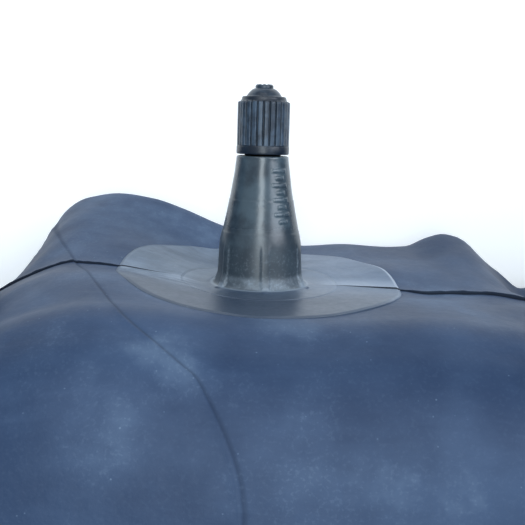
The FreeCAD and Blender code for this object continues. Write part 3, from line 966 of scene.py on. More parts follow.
@dataclass
class TubeSkin:
    """The tube itself: one closed ring of soft rubber with its mould line and its splice.

    Attributes:
        valve: The valve's frame.
        wall: The shape of its slack inner wall.
        outer: Radius of its outer wall, mm.
        tall: Height of its section, mm.
        low_corner: Radius of the section's corner under the inner wall, mm.
        top_corner: Radius of its corner over the inner wall, mm.
        outer_low_corner: Radius of its corner under the outer wall, mm.
        outline_points: How many points the section is smoothed with.
        smoothing: How far the section's corners are smoothed, in those points.
        fine_step: Distance between the mesh's lines near the valve, mm.
        middle_step: Distance between them a little further off, mm.
        coarse_step: Distance between them far from the valve, mm.
        fine_reach: How far along the tube the fine lines go each way, mm.
        middle_reach: How far along the tube the next lines go each way, mm.
        fine_rows: Where the fine lines start and end round the section, mm from the mould line.
        patch_sink: How far the skin is set back behind the patch, mm.
        patch_proud: How far the patch's rim stands over the skin, mm.
        splice_side: Where the splice crosses the mould line, mm to the side of the valve.
        splice: The splice's path, as pairs of distance round the section and side, mm.
    """

    valve: ValveFrame
    wall: SoftWall
    outer: float
    tall: float
    low_corner: float = 16.0
    top_corner: float = 25.0
    outer_low_corner: float = 42.0
    outline_points: int = 1400
    smoothing: float = 18.0
    fine_step: float = 1.1
    middle_step: float = 2.5
    coarse_step: float = 5.0
    fine_reach: float = 72.0
    middle_reach: float = 92.0
    fine_rows: tuple[float, float] = (-52.0, 58.0)
    patch_sink: float = 0.8
    patch_proud: float = 0.26
    splice_side: float = -37.0
    splice: Knots = (
        (-80, -58), (-47, -53.5), (-21.9, -47.4), (-10.9, -42.8), (-6.2, -40.2), (0, -37.1), (7.3, -33.9),
        (14.6, -30.7), (23.1, -26.3), (31.4, -22.0), (33.8, -19.8), (36.8, -16.3), (39.1, -13.6),
        (41.1, -11.2), (43.6, -8.3), (62, -1), (110, -2), (170, -14), (215, -40), (255, -58),
    )

    def build(self) -> bpy.types.Object:
        """Makes the skin's mesh.

        Returns:
            The tube's skin, dressed and riding on the tube.
        """
        profile, place = self._section()
        across = self._across(place)
        angle0 = self._around()
        rho = np.interp(across, place, profile[:, 0])[:, None]
        level = np.interp(across, place, profile[:, 1])[:, None]
        shift = curve_through(across, self.splice)[:, None] - self.splice_side
        window = ease(np.abs(angle0 * self.wall.radius - self.splice_side), 150.0, 0.0)
        angle = np.degrees(angle0 + shift * window / self.wall.radius)
        points, crest = self._soften(angle, rho, level)
        points = points + self._outward(points) * self._lines(points, across, angle0)[..., None]
        # The seam mask carries painted shade and dirt along the mould line and the splice.
        seam_shade_and_dirt = self._seam_shade_and_dirt(across, angle0)
        layers = {"across": across[:, None] * MM, "seam_shade_and_dirt": seam_shade_and_dirt, "crest": crest}
        skin = make_piece("tube_skin", points * MM, True, True, layers)
        skin.data.materials.append(TubeRubber().make())
        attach(skin, "tube")
        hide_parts("tube_body")
        return skin

    def _section(self) -> tuple[np.ndarray, np.ndarray]:
        """The section's outline and how far round it each point is.

        Returns:
            Points of radius and height, mm, and their distance along the outline from the middle
            of the inner wall, rising up the wall. It starts and ends under the tube.
        """
        inner, tall, half = self.wall.radius, self.tall, self.tall / 2
        corners = [
            (inner + self.low_corner, self.low_corner, self.low_corner, 270.0, 180.0),
            (inner + self.top_corner, tall - self.top_corner, self.top_corner, 180.0, 90.0),
            (self.outer - half, half, half, 90.0, 0.0),
            (self.outer - self.outer_low_corner, self.outer_low_corner, self.outer_low_corner, 0.0, -90.0),
        ]
        outline = [((inner + self.outer) / 2, 0.0)]
        for x, z, radius, start, end in corners:
            for turn in np.radians(np.linspace(start, end, 24)):
                outline.append((x + radius * math.cos(turn), z + radius * math.sin(turn)))
        outline.append(outline[0])
        points = np.array(outline)
        run = np.concatenate([[0.0], np.cumsum(np.hypot(*np.diff(points, axis=0).T))])
        even = np.linspace(0.0, run[-1], self.outline_points)
        dense = np.stack([np.interp(even, run, points[:, k]) for k in (0, 1)], axis=1)[:-1]
        reach = np.arange(-60, 61)
        weights = np.exp(-0.5 * (reach / self.smoothing) ** 2)
        weights /= weights.sum()
        smooth = sum(w * np.roll(dense, k, axis=0) for w, k in zip(weights, reach))
        smooth = np.vstack([smooth, smooth[:1]])
        wall = np.argmin(np.abs(smooth[:, 1] - self.valve.level) + (smooth[:, 0] > inner + 20) * 1e3)
        return smooth, even - even[wall]

    def _across(self, place: np.ndarray) -> np.ndarray:
        """Places round the section for the mesh's rows: close together on the inner wall.

        Args:
            place: Distances round the section from the middle of the inner wall, rising, mm.

        Returns:
            The rows' distances, rising, mm.
        """
        start, end = self.fine_rows
        rows = [spaced(place[0], start, 3.6), spaced(start, -1.2, self.fine_step)]
        rows += [np.array([-0.9, -0.45, -0.16, 0.0, 0.07, 0.18, 0.30, 0.62, 1.0])]
        rows += [spaced(1.6, end, self.fine_step), spaced(end, 150.0, 3.6)]
        return np.concatenate(rows + [spaced(150.0, place[-1], 4.0)])

    def _around(self) -> np.ndarray:
        """Angles round the ring for the mesh's columns: close together by the valve.

        Returns:
            The columns' angles from the valve, rising, radians.
        """
        half = math.pi * self.wall.radius
        near, far = self.fine_reach, self.middle_reach
        lips = np.array([-1.5, -0.75, -0.32, 0.0, 0.32, 0.75]) + self.splice_side
        runs = [spaced(-half, -far, self.coarse_step), spaced(-far, -near, self.middle_step)]
        runs += [spaced(-near, lips[0], self.fine_step), lips]
        runs += [spaced(self.splice_side + 1.5, near, self.fine_step), spaced(near, far, self.middle_step)]
        return np.concatenate(runs + [spaced(far, half, self.coarse_step)]) / self.wall.radius

    def _soften(
        self, angle: np.ndarray, rho: np.ndarray, level: np.ndarray
    ) -> tuple[np.ndarray, np.ndarray]:
        """Gives the plain ring its swells, dents, creases and sag.

        Args:
            angle: Degrees round the ring from the valve, by row and column.
            rho: The section's radius, mm, by row.
            level: The section's height, mm, by row.

        Returns:
            Points in mm, and how swollen the wall is at each, from 0 to 1.
        """
        swell = self.wall.swell(angle, level)
        inner = ease(rho, self.wall.radius + 52.0, self.wall.radius + 8.0)
        turn = np.radians(angle)
        by_valve = ease(np.abs(turn) * self.wall.radius, 80.0, 56.0)
        stiff = by_valve * ease(level, 8.0, 19.0) * ease(level, 0.86 * self.tall, 0.76 * self.tall)
        rho = rho - (rho - self.wall.radius) * stiff * inner
        outside = ease(rho, self.outer - 42.0, self.outer - 4.0)
        slack = 1.4 * np.sin(2 * turn + 1.0) + 1.1 * np.sin(5 * turn + 0.5) + 0.8 * np.sin(9 * turn + 2.2)
        radius = rho - inner * swell + outside * (slack - 2.0)
        upper = ease(level, 0.45 * self.tall, self.tall)
        away = ease(np.abs(angle), 16.0, 40.0)
        sag = (1.8 + 1.6 * np.sin(3 * turn + 0.8) + 0.9 * np.sin(8 * turn)) * away
        dip = 0.28 * np.maximum(-swell, 0.0) * inner * away
        crease = np.sin(48.0 * turn + 0.06 * rho) * np.clip(-swell / 10.0, 0.0, 1.0) * inner * away
        height = level - upper * (sag + dip + crease)
        points = np.stack([-np.sin(turn) * radius, np.cos(turn) * radius, height], axis=-1)
        points[..., 1] -= self._seat(points)
        return points, np.clip(swell / 14.0, 0.0, 1.0) * inner

    def _seat(self, points: np.ndarray) -> np.ndarray:
        """How far the skin is set back behind the patch and just round it.

        Args:
            points: The skin's points, mm.

        Returns:
            The move, mm, to take from each point's y.
        """
        near = points[..., 2] - self.valve.level
        reach = np.hypot(points[..., 0], near)
        wall = ease(np.abs(points[..., 1] - self.valve.face), 30.0, 14.0)
        edge = self.wall.patch_radius
        sunk = self.patch_sink * ease(reach, edge - 0.8, edge - 2.8)
        sunk = sunk + 0.14 * ease(-points[..., 0], 0.0, 22.0) * ease(reach, edge + 14.0, edge - 0.5)
        return -(sunk + self.patch_proud * ease(reach, edge + 14.0, edge - 0.5)) * wall

    @staticmethod
    def _outward(points: np.ndarray) -> np.ndarray:
        """Finds which way the skin faces.

        Args:
            points: A grid of points that wraps both ways, mm.

        Returns:
            Unit normals that point out of the tube.
        """
        down = np.roll(points, -1, axis=0) - np.roll(points, 1, axis=0)
        along = np.roll(points, -1, axis=1) - np.roll(points, 1, axis=1)
        normal = np.cross(down, along)
        normal /= np.linalg.norm(normal, axis=-1, keepdims=True) + 1e-12
        middle = points.mean(axis=0, keepdims=True)
        return normal * np.sign((normal * (points - middle)).sum(axis=-1, keepdims=True))

    def _lines(self, points: np.ndarray, across: np.ndarray, angle0: np.ndarray) -> np.ndarray:
        """Height of the mould line, the splice and small puckers over the soft shape.

        Args:
            points: The skin's points, mm.
            across: The rows' distances round the section, mm.
            angle0: The columns' angles before the splice bends them, radians.

        Returns:
            The height along the skin's normal, mm.
        """
        side, near = -points[..., 0], points[..., 2]
        rag = 1.0 + 0.22 * np.sin(side * 1.9) * np.sin(side * 0.63 + 1.0) + 0.16 * np.sin(side * 4.7)
        lip_places = [-1.6, -0.45, -0.16, 0.0, 0.07, 0.30, 1.0]
        step = np.interp(across, lip_places, [0, 0.14, 0.30, 0.40, -0.10, -0.12, 0])
        strong = 0.62 + 0.28 * ease(side, -26.0, -34.0) + 0.22 * ease(side, 28.0, 36.0)
        ledge = 0.25 * np.interp(across, [-8.0, -2.5, 0.0, 0.07], [0, 1, 1, 0])
        flash = step[:, None] * rag * strong + ledge[:, None] * ease(side, 26.0, 36.0)
        far = np.interp(across, [160.0, 165.0, 168.0, 171.0, 176.0], [0, 0.05, 0.35, 0.05, 0])
        lip = angle0 * self.wall.radius - self.splice_side
        groove = 0.16 * ease(lip, -1.5, -0.2) * ease(lip, 0.1, -0.05) - 0.14 * bell(lip - 0.1, 0.24)
        pucker = 0.16 * np.sin(side * 0.55 + near * 0.21) * np.sin(near * 0.33 - side * 0.12)
        return flash + far[:, None] + groove[None, :] + pucker * ease(np.abs(side), 30.0, 46.0)

    def _seam_shade_and_dirt(self, across: np.ndarray, angle0: np.ndarray) -> np.ndarray:
        """Where the mould line and the splice get painted shade and dirt.

        Args:
            across: The rows' distances round the section, mm.
            angle0: The columns' angles before the splice bends them, radians.

        Returns:
            The painted shade and dirt, from 0 to 1, by row and column.
        """
        mould = np.interp(across, [-0.16, 0.0, 0.07, 0.18, 0.30], [0, 0.7, 1, 0.8, 0])
        lip = angle0 * self.wall.radius - self.splice_side
        return np.maximum(mould[:, None], 0.38 * bell(lip - 0.1, 0.32)[None, :])


@dataclass
class BasePatch:
    """The round patch that the valve stands on, bent a little with the wall behind it.

    Attributes:
        valve: The valve's frame.
        wall: The shape of the wall it is bonded to.
        thick: How deep its rim goes into the wall, mm.
        bevel: Width of its rounded edge, mm.
        edge_drop: How far the rounded edge falls, mm.
        columns: How many points there are along a row.
    """

    valve: ValveFrame
    wall: SoftWall
    thick: float = 1.0
    bevel: float = 0.7
    edge_drop: float = 0.22
    columns: int = 97

    def build(self) -> bpy.types.Object:
        """Makes the patch.

        Returns:
            The patch, dressed and riding on the tube.
        """
        near, span = self._rows()
        edge = self.wall.patch_radius
        even = np.linspace(-1.0, 1.0, self.columns)
        share = 0.5 * np.sin(even * math.pi / 2) + 0.5 * even
        side = span[:, None] * share[None, :]
        near = np.broadcast_to(near[:, None], side.shape)
        reach = np.minimum(np.hypot(side, near), edge)
        top = self.wall.height(side, near) + self._line(side, near)
        top = top - self.edge_drop * ease(reach, edge - self.bevel, edge)
        low = self.wall.height(side, near) - self.thick
        grid = np.concatenate([side, side[:, ::-1]], axis=1)
        upto = np.concatenate([near, near[:, ::-1]], axis=1)
        out = np.concatenate([top, low[:, ::-1]], axis=1)
        # Painted shade and dirt along the mould line where it crosses the patch.
        seam_shade_and_dirt = np.interp(upto[:, 0], [-0.22, 0.0, 0.08, 0.35], [0, 0.8, 1, 0])[:, None]
        left, right = ease(grid, -16.0, -25.0), 0.3 + 0.7 * ease(grid, 14.0, 27.0)
        seam_shade_and_dirt = seam_shade_and_dirt * ease(np.abs(grid), 14.0, 18.0) * np.where(grid < 0, left, right)
        layers = {"reach": np.hypot(grid, upto), "side": grid, "near": upto, "seam_shade_and_dirt": seam_shade_and_dirt}
        patch = make_piece("base_patch", self.valve.place(grid, out, upto), False, True, layers)
        patch.data.materials.append(PatchRubber().make())
        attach(patch, "tube")
        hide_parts("valve_patch")
        return patch

    def _rows(self) -> tuple[np.ndarray, np.ndarray]:
        """Places the patch's rows, with extra ones beside the mould line.

        Returns:
            How far near each row is, and half its length, mm.
        """
        edge = self.wall.patch_radius
        turn = np.linspace(-math.pi / 2, math.pi / 2, 75)
        rows = np.concatenate([edge * np.sin(turn), [-0.45, -0.2, -0.08, 0.08, 0.22, 0.45]])
        rows = np.unique(np.round(rows, 4))
        return rows, np.sqrt(np.maximum(edge**2 - rows**2, 0.0))

    def _line(self, side: np.ndarray, near: np.ndarray) -> np.ndarray:
        """Height of the mould line where it crosses the patch, and of the faint press marks.

        Args:
            side: Along the tube, mm.
            near: Up from the valve's axis, mm.

        Returns:
            The height over the patch's face, mm.
        """
        lip_places = [-0.45, -0.2, -0.08, 0.0, 0.08, 0.22, 0.45]
        step = np.interp(near, lip_places, [0, 0.05, 0.11, 0.13, -0.05, -0.05, 0])
        reach = np.hypot(side, near)
        ring = 0.02 * bell(reach - 15.9, 0.5) - 0.03 * bell(reach - 20.3, 0.7)
        tall = np.where(side < 0, 0.9 * ease(side, -16.0, -27.0), 0.35 + 1.1 * ease(side, 16.0, 27.0))
        return step * tall * ease(np.abs(side), 14.0, 18.0) + ring


# --------------------------------------------------------------------------- the valve


@dataclass(frozen=True)
class Turning:
    """A closed outline to turn about the valve's axis, with what varies round it.

    Attributes:
        name: The piece's name.
        outline: Pairs of radius and out, mm, in order round the section.
        outer: Whether each point is on the outside, where the detail is.
        bearings: How many columns the mesh has.
        detail: Gives how far the outside stands off the outline, mm, from bearing, radius and out.
        bend: Gives how far along the valve each place moves, mm, from bearing and radius.
    """

    name: str
    outline: np.ndarray
    outer: np.ndarray
    bearings: int
    detail: Callable[[np.ndarray, np.ndarray, np.ndarray], np.ndarray]
    bend: Callable[[np.ndarray, np.ndarray], np.ndarray] | None = None

    def build(
        self, valve: ValveFrame, layers: Callable[..., dict[str, np.ndarray]] | None = None
    ) -> bpy.types.Object:
        """Makes the mesh.

        Args:
            valve: The valve's frame.
            layers: Gives values to keep on the points, from bearing, radius, out and detail.

        Returns:
            The new object.
        """
        bearing = (np.arange(self.bearings) * 2 * math.pi / self.bearings)[None, :]
        radius, out = self.outline[:, :1], self.outline[:, 1:]
        extra = self.detail(bearing, radius, out) * self.outer[:, None]
        kept = layers(bearing, radius, out, extra) if layers else None
        bent = self.bend(bearing, radius) if self.bend else 0.0
        return make_piece(self.name, valve.round(bearing, radius + extra, out + bent), True, True, kept)


@dataclass
class RubberStem:
    """The moulded rubber over the stem: flange, collar, six ribs and a hollow-sided cone.

    Attributes:
        valve: The valve's frame.
        wall: The shape of the wall, which its flange follows.
        side: The outside from the flange up, as out and radius, mm.
        top: How far out its top stands, mm.
        flange: Radius of its thin flange, mm.
        bend_from: Radius from which it bends with the wall, mm.
        bore: Radius of the bore that holds the brass, mm.
        passage: Radius of the air passage below the brass, mm.
        ribs: How many ribs it has.
        first_rib: Bearing of one rib, degrees.
        rib_tall: How far a rib stands out along the collar, mm.
        rib_fade: Where a rib starts to fade and where it ends, out, mm.
        marks: How many raised dashes run down its cone.
        mark_top: How far out the first dash is, mm.
        mark_pitch: Distance from a dash to the next, mm.
        mark_bearing: Bearing of the dashes, degrees.
        mark_tall: How far a dash stands out, mm.
    """

    valve: ValveFrame
    wall: SoftWall
    side: Knots = (
        (0.30, 10.0), (0.55, 8.9), (1.1, 8.52), (1.9, 8.32), (2.6, 8.17), (5.5, 8.0), (8.4, 7.84),
        (11.8, 7.15), (16.0, 6.32), (20.8, 5.53), (23.5, 5.17), (24.9, 5.02),
    )
    top: float = 25.2
    flange: float = 15.5
    bend_from: float = 8.9
    bore: float = 3.5
    passage: float = 1.6
    ribs: int = 6
    first_rib: float = 7.7
    rib_tall: float = 0.20
    rib_fade: tuple[float, float] = (7.0, 9.6)
    marks: int = 8
    mark_top: float = 22.6
    mark_pitch: float = 1.35
    mark_bearing: float = 38.0
    mark_tall: float = 0.17

    def build(self) -> bpy.types.Object:
        """Makes the stem's rubber.

        Returns:
            The rubber, dressed and riding on the tube.
        """
        up = np.concatenate([spaced(0.30, 2.6, 0.11), spaced(2.6, 10.0, 0.26), spaced(10.0, 24.9, 0.16)])
        cone = curve_through(up, self.side)
        edge = self.flange
        skirt = [(self.passage, 0.0), (9.0, 0.0), (11.0, 0.0), (13.0, 0.0), (14.3, 0.0), (edge, 0.0)]
        skirt += [(edge, 0.01), (edge - 0.8, 0.03), (edge - 1.8, 0.06)]
        skirt += [(12.8, 0.09), (11.6, 0.13), (10.7, 0.19)]
        shoulder = [(5.0, 25.0), (4.9, 25.12), (4.72, 25.19), (4.5, self.top), (self.bore, self.top)]
        hollow = [(self.bore, 15.0), (self.bore, 4.2), (self.passage, 4.2)]
        outline = np.array(skirt + list(zip(cone, up)) + shoulder + hollow)
        outer = np.zeros(len(outline))
        outer[len(skirt) : len(skirt) + len(up)] = 1.0
        turning = Turning("rubber_stem", outline, outer, 288, self._detail, self._bend)
        stem = turning.build(self.valve, self._layers)
        stem.data.materials.append(StemRubber().make())
        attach(stem, "tube")
        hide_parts("stem_cover")
        return stem

    def _bend(self, bearing: np.ndarray, radius: np.ndarray) -> np.ndarray:
        """How far the flange follows the wall, mm. The stem itself stays straight."""
        reach = np.where(radius < self.bend_from, 0.0, radius)
        return self.wall.height(reach * np.sin(bearing), reach * np.cos(bearing))

    def _rib(self, bearing: np.ndarray, radius: np.ndarray) -> np.ndarray:
        """Where the ribs are.

        Args:
            bearing: Angle about the valve's axis, radians.
            radius: Distance from it, mm.

        Returns:
            0 beside a rib, and 1 on it.
        """
        pitch = 2 * math.pi / self.ribs
        away = (bearing - math.radians(self.first_rib) + pitch / 2) % pitch - pitch / 2
        return ease(np.abs(away) * radius, 1.1, 0.45)

    def _detail(self, bearing: np.ndarray, radius: np.ndarray, out: np.ndarray) -> np.ndarray:
        """Ribs, mould lines and raised marks.

        Args:
            bearing: Angle about the valve's axis, radians.
            radius: Distance from it, mm.
            out: Along the valve, mm.

        Returns:
            How far the rubber stands off its outline, mm.
        """
        start, end = self.rib_fade
        tall = self.rib_tall * ease(out, end, start)
        tall = tall + 0.5 * ease(out, 3.4, 0.7) * (0.4 + 0.6 * np.abs(np.sin(bearing)))
        ribs = self._rib(bearing, radius) * tall * ease(out, 0.30, 0.45)
        lines = 0.06 * ease(out, 16.95, 16.80) + 0.05 * ease(out, 10.85, 10.70)
        uneven = 0.012 * np.sin(3 * bearing + out * 0.7) + 0.008 * np.sin(7 * bearing - out * 1.3)
        return ribs + lines + uneven * ease(out, 0.6, 4.0) + self._marks(bearing, radius, out)

    def _marks(self, bearing: np.ndarray, radius: np.ndarray, out: np.ndarray) -> np.ndarray:
        """A plain column of raised dashes, long and short in turn.

        Args:
            bearing: Angle about the valve's axis, radians.
            radius: Distance from it, mm.
            out: Along the valve, mm.

        Returns:
            How far the dashes stand off the cone, mm.
        """
        across = (bearing - math.radians(self.mark_bearing)) * radius
        total = np.zeros(np.broadcast(bearing, out).shape)
        for number in range(self.marks):
            level = self.mark_top - self.mark_pitch * number
            half = 1.5 if number % 2 == 0 else 0.8
            slab = ease(np.abs(across), half + 0.3, half) * ease(np.abs(out - level), 0.42, 0.20)
            total = total + self.mark_tall * slab
        return total

    def _layers(
        self, bearing: np.ndarray, radius: np.ndarray, out: np.ndarray, extra: np.ndarray
    ) -> dict[str, np.ndarray]:
        """Where each point is, and where the rib edges are painted pale, as dust and as painted highlight,
        for the finish.

        Args:
            bearing: Angle about the valve's axis, radians.
            radius: The outline's distance from it, mm.
            out: Along the valve, mm.
            extra: How far the detail stands off the outline, mm.

        Returns:
            The values by the name that the finish reads them by.
        """
        start, end = self.rib_fade
        rib = self._rib(bearing, radius)
        edge = 4.0 * rib * (1.0 - rib) * ease(out, end, start)
        # The painted highlight on the rib edges is strongest on the ribs at the stem's sides.
        edge = edge * (0.25 + 0.75 * np.abs(np.sin(bearing)))
        marks = self._marks(bearing, radius, out) / self.mark_tall
        side, near = radius * np.sin(bearing), radius * np.cos(bearing)
        return {
            "out": out,
            "edge": np.clip(0.8 * edge + 0.3 * marks, 0, 1),
            "reach": radius + extra,
            "side": side,
            "near": near,
        }


@dataclass
class BrassStem:
    """The brass stem in the rubber, with a true helical cap thread.

    Attributes:
        valve: The valve's frame.
        pitch: The thread's pitch, mm.
        crest: Radius of the thread's crests, mm.
        root: Radius of its roots, mm.
        low: How far out the thread starts, mm.
        mouth: How far out the stem ends, mm.
        chamfer: Width of the bevel at its mouth, mm.
        step: Distance between the mesh's rings along the thread, mm.
        shank: Radius of the brass inside the rubber, mm.
        foot: Radius of the disc at its foot, mm.
        floor: How far out the disc's outer side is, mm.
    """

    valve: ValveFrame
    pitch: float = 0.79375
    crest: float = 3.85
    root: float = 3.4
    low: float = 25.9
    mouth: float = 35.0
    chamfer: float = 0.3
    step: float = 0.066
    shank: float = 3.5
    foot: float = 4.75
    floor: float = 4.2

    def build(self) -> bpy.types.Object:
        """Makes the stem.

        Returns:
            The brass stem, dressed and riding on the tube.
        """
        neck, lip = self.mouth - self.chamfer, self.root - self.chamfer
        thread = [(self.root, height) for height in spaced(self.low, neck, self.step)]
        foot = [(1.6, 3.0), (self.foot, 3.0), (self.foot, self.floor), (self.shank, self.floor)]
        foot += [(self.shank, 15.0), (self.shank, self.low - 0.1)]
        top = [(self.root, neck), (lip, self.mouth), (2.72, self.mouth), (2.65, self.mouth - 0.1)]
        bore = [(2.65, 30.5), (2.1, 30.5), (2.1, 25.0), (1.8, 23.5), (1.8, self.floor)]
        outline = np.array(foot + thread + top + bore)
        outer = np.zeros(len(outline))
        outer[len(foot) : len(foot) + len(thread)] = 1.0
        stem = Turning("brass_stem", outline, outer, 120, self._thread).build(self.valve)
        stem.data.materials.append(TurnedBrass().make())
        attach(stem, "tube")
        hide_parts("valve_stem")
        return stem

    def _thread(self, bearing: np.ndarray, radius: np.ndarray, out: np.ndarray) -> np.ndarray:
        """Draws a right-hand thread with flat crests and a lead at both ends.

        Args:
            bearing: Angle about the valve's axis, radians.
            radius: The root's distance from it, mm.
            out: Along the valve, mm.

        Returns:
            The thread's height over its root, mm.
        """
        turn = (out / self.pitch + bearing / (2 * math.pi)) % 1.0
        ridge = np.clip(1.35 - 2.9 * np.abs(turn - 0.5), 0.0, 1.0)
        lead = ease(out, self.low, self.low + 0.5) * ease(out, self.mouth - 0.35, self.mouth - 1.1)
        return (self.crest - self.root) * ridge * lead


@dataclass
class DustCap:
    """The plastic cap: plain ring, moulded ribs, domed crown with pips, and a threaded bore.

    Attributes:
        valve: The valve's frame.
        ribs: How many ribs it has.
        columns: How many of the mesh's columns a rib and its groove have.
        rim: How far out its open end is, mm.
        ring: Radius of the plain ring, mm.
        ring_top: How far out the plain ring ends, mm.
        rib: Radius over the ribs, mm.
        rib_top: How far out the ribs end, mm.
        groove: Depth of the grooves between the ribs, mm.
        bore: Radius of its bore, mm.
        dome: Radius of the dome's foot, mm.
        crown: How far out its crown is, mm.
        pips: How many pips the crown has.
        pip_tall: How far a pip stands out, mm.
        pip_ring: Radius of the ring of pips, mm.
    """

    valve: ValveFrame
    ribs: int = 26
    columns: int = 14
    rim: float = 25.5
    ring: float = 5.05
    ring_top: float = 27.1
    rib: float = 5.0
    rib_top: float = 35.3
    groove: float = 0.50
    bore: float = 3.95
    dome: float = 3.34
    crown: float = 38.45
    pips: int = 9
    pip_tall: float = 0.16
    pip_ring: float = 1.2

    def build(self) -> bpy.types.Object:
        """Makes the cap.

        Returns:
            The cap, dressed and riding on the cap's body.
        """
        skirt = [(3.98, self.rim), (4.8, self.rim), (4.96, 25.54), (self.ring, 25.66), (self.ring, 26.2)]
        skirt += [(self.ring, 26.86), (5.0, 27.02), (4.93, self.ring_top)]
        top = self.rib_top
        up = np.concatenate([[27.12, 27.2, 27.34, 27.5], spaced(27.8, top - 0.7, 0.5)])
        up = np.concatenate([up, top + np.array([-0.5, -0.3, -0.14, -0.05, 0.0])])
        barrel = [(self.rib - 0.02, height) for height in up]
        shoulder = [(4.56, top + 0.08), (4.38, top + 0.22), (4.27, top + 0.5), (4.2, top + 0.8)]
        shoulder += [(4.1, top + 0.95), (3.95, top + 1.0), (3.5, top + 1.02)]
        foot = top + 1.06
        dome = [(self.dome, foot)]
        for share in np.linspace(0.08, 1.0, 12):
            dome.append((self.dome - 1.64 * share, foot + 1.45 * math.sin(share * 1.5) ** 0.85))
        level = self.crown
        crown = [(1.72, level - 0.34), (1.7, level - 0.14), (1.62, level - 0.05), (1.5, level)]
        crown += [(reach, level) for reach in (1.3, 1.1, 0.9, 0.7, 0.5, 0.25, 0.0)]
        roof = [(0.0, 37.3), (1.5, 37.3), (2.9, 36.35), (2.9, 35.9), (self.bore, 35.9)]
        wall = [(self.bore, height) for height in spaced(26.6, 35.0, 0.1)[::-1]]
        outline = np.array(skirt + barrel + shoulder + dome + crown + roof + wall)
        outer = np.zeros(len(outline))
        outer[len(skirt) : len(skirt) + len(barrel)] = 1.0
        turning = Turning("dust_cap", outline, outer, self.ribs * self.columns, self._detail)
        cap = turning.build(self.valve, self._layers)
        self._raise_pips(cap)
        cap.data.materials.append(CapPlastic().make())
        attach(cap, "cap")
        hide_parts("cap_shell")
        return cap

    def _between(self, bearing: np.ndarray) -> np.ndarray:
        """How deep in a groove the bearing is, from 0 on a rib to 1 at the bottom."""
        turn = (bearing * self.ribs / (2 * math.pi) + 0.5) % 1.0
        return ease(np.abs(turn - 0.5), 0.17, 0.09)

    def _detail(self, bearing: np.ndarray, radius: np.ndarray, out: np.ndarray) -> np.ndarray:
        """Grooves between the ribs, and the ribs' rounded ends.

        Args:
            bearing: Angle about the valve's axis, radians.
            radius: Distance from it, mm.
            out: Along the valve, mm.

        Returns:
            How far the cap stands off its outline, mm, which is inward here.
        """
        open_part = ease(out, 27.12, 27.4)
        ends = 0.12 * ease(out, self.rib_top - 0.2, self.rib_top)
        return -self.groove * self._between(bearing) * open_part - ends

    def _layers(
        self, bearing: np.ndarray, radius: np.ndarray, out: np.ndarray, extra: np.ndarray
    ) -> dict[str, np.ndarray]:
        """Where the ribs' edges are rubbed, for the finish.

        Args:
            bearing: Angle about the valve's axis, radians.
            radius: The outline's distance from it, mm.
            out: Along the valve, mm.
            extra: How far the detail stands off the outline, mm.

        Returns:
            The values by the name that the finish reads them by.
        """
        between = self._between(bearing)
        top = self.rib_top
        edge = (1.0 - between) * ease(out, 27.0, 27.3) * ease(out, top + 0.1, top - 0.2)
        return {"edge": 0.8 * edge * (radius > 4.6) + 0.3 * (out > top + 0.9) * (radius < 4.1)}

    def _raise_pips(self, cap: bpy.types.Object) -> None:
        """Lifts a ring of small pips on the crown's disc.

        Args:
            cap: The cap's mesh object, whose points are moved.
        """
        mesh = cap.data
        places = np.empty(len(mesh.vertices) * 3)
        mesh.vertices.foreach_get("co", places)
        places = places.reshape(-1, 3)
        side = -places[:, 0] / MM
        near = places[:, 2] / MM - self.valve.level
        reach, bearing = np.hypot(side, near), np.arctan2(side, near)
        crown = (self.valve.face - places[:, 1] / MM > self.crown - 0.02) & (reach < 1.7)
        pips = np.cos(self.pips * bearing) * 0.5 + 0.5
        lift = self.pip_tall * pips * bell(reach - self.pip_ring, 0.34) + 0.06 * bell(reach, 0.4)
        places[:, 1] -= np.where(crown, lift, 0.0) * MM
        mesh.vertices.foreach_set("co", places.ravel())
        mesh.update()


@dataclass
class ValveCore:
    """The screw-in core: its turned pieces keep their shape, and its spring is a fresh coil.

    Attributes:
        valve: The valve's frame.
        turned: The nodes that are turned from brass.
        seals: The nodes that are small rubber seals.
        wire: Radius of the spring's wire, mm.
        coil: Radius of its coil, mm.
        low: How far out its foot is, mm.
        high: How far out its top is, mm.
        turns: How many turns it has.
        press: How far the pin shortens it, mm.
    """

    valve: ValveFrame
    turned: tuple[str, ...] = ("core_plug", "core_barrel", "core_pin", "core_cup")
    seals: tuple[str, ...] = ("core_gasket", "core_washer", "cap_liner")
    wire: float = 0.14
    coil: float = 0.85
    low: float = 22.72
    high: float = 27.28
    turns: float = 7.5
    press: float = 1.2

    def build(self) -> list[bpy.types.Object]:
        """Dresses the core's pieces and makes its spring.

        Returns:
            The pieces.
        """
        brass, rubber = TurnedBrass().make(), SealRubber().make()
        dressed = []
        for names, finish in ((self.turned, brass), (self.seals, rubber)):
            for name in names:
                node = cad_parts[name]
                node.data.materials.clear()
                node.data.materials.append(finish)
                dressed.append(node)
        return dressed + [self._spring()]

    def _spring(self) -> bpy.types.Object:
        """Makes a coil whose end turns lie close.

        Returns:
            The spring, dressed and riding on the core.
        """
        turn = np.linspace(0.0, self.turns * 2 * math.pi, int(self.turns * 40))
        share = turn / turn[-1]
        bottom, top = self.low + self.wire, self.high - self.wire
        climb = curve_through(share, ((0, 0), (0.13, 0.05), (0.87, 0.95), (1, 1)))
        height = bottom + (top - bottom) * climb
        round_wire = np.arange(12) * 2 * math.pi / 12
        radius = self.coil + self.wire * np.cos(round_wire)[None, :]
        out = height[:, None] + self.wire * np.sin(round_wire)[None, :]
        points = self.valve.round(turn[:, None], radius, out)
        spring = make_piece("coil_spring", points, False, True, None, cover_ends=True)
        spring.data.materials.append(SpringSteel().make())
        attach(spring, "core")
        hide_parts("core_spring")
        anchor = self.valve.round(np.float64(0.0), np.float64(0.0), np.float64(self.low))
        pressed = (self.high - self.low - self.press) / (self.high - self.low)
        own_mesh(spring)
        return spring


# --------------------------------------------------------------------------- studio


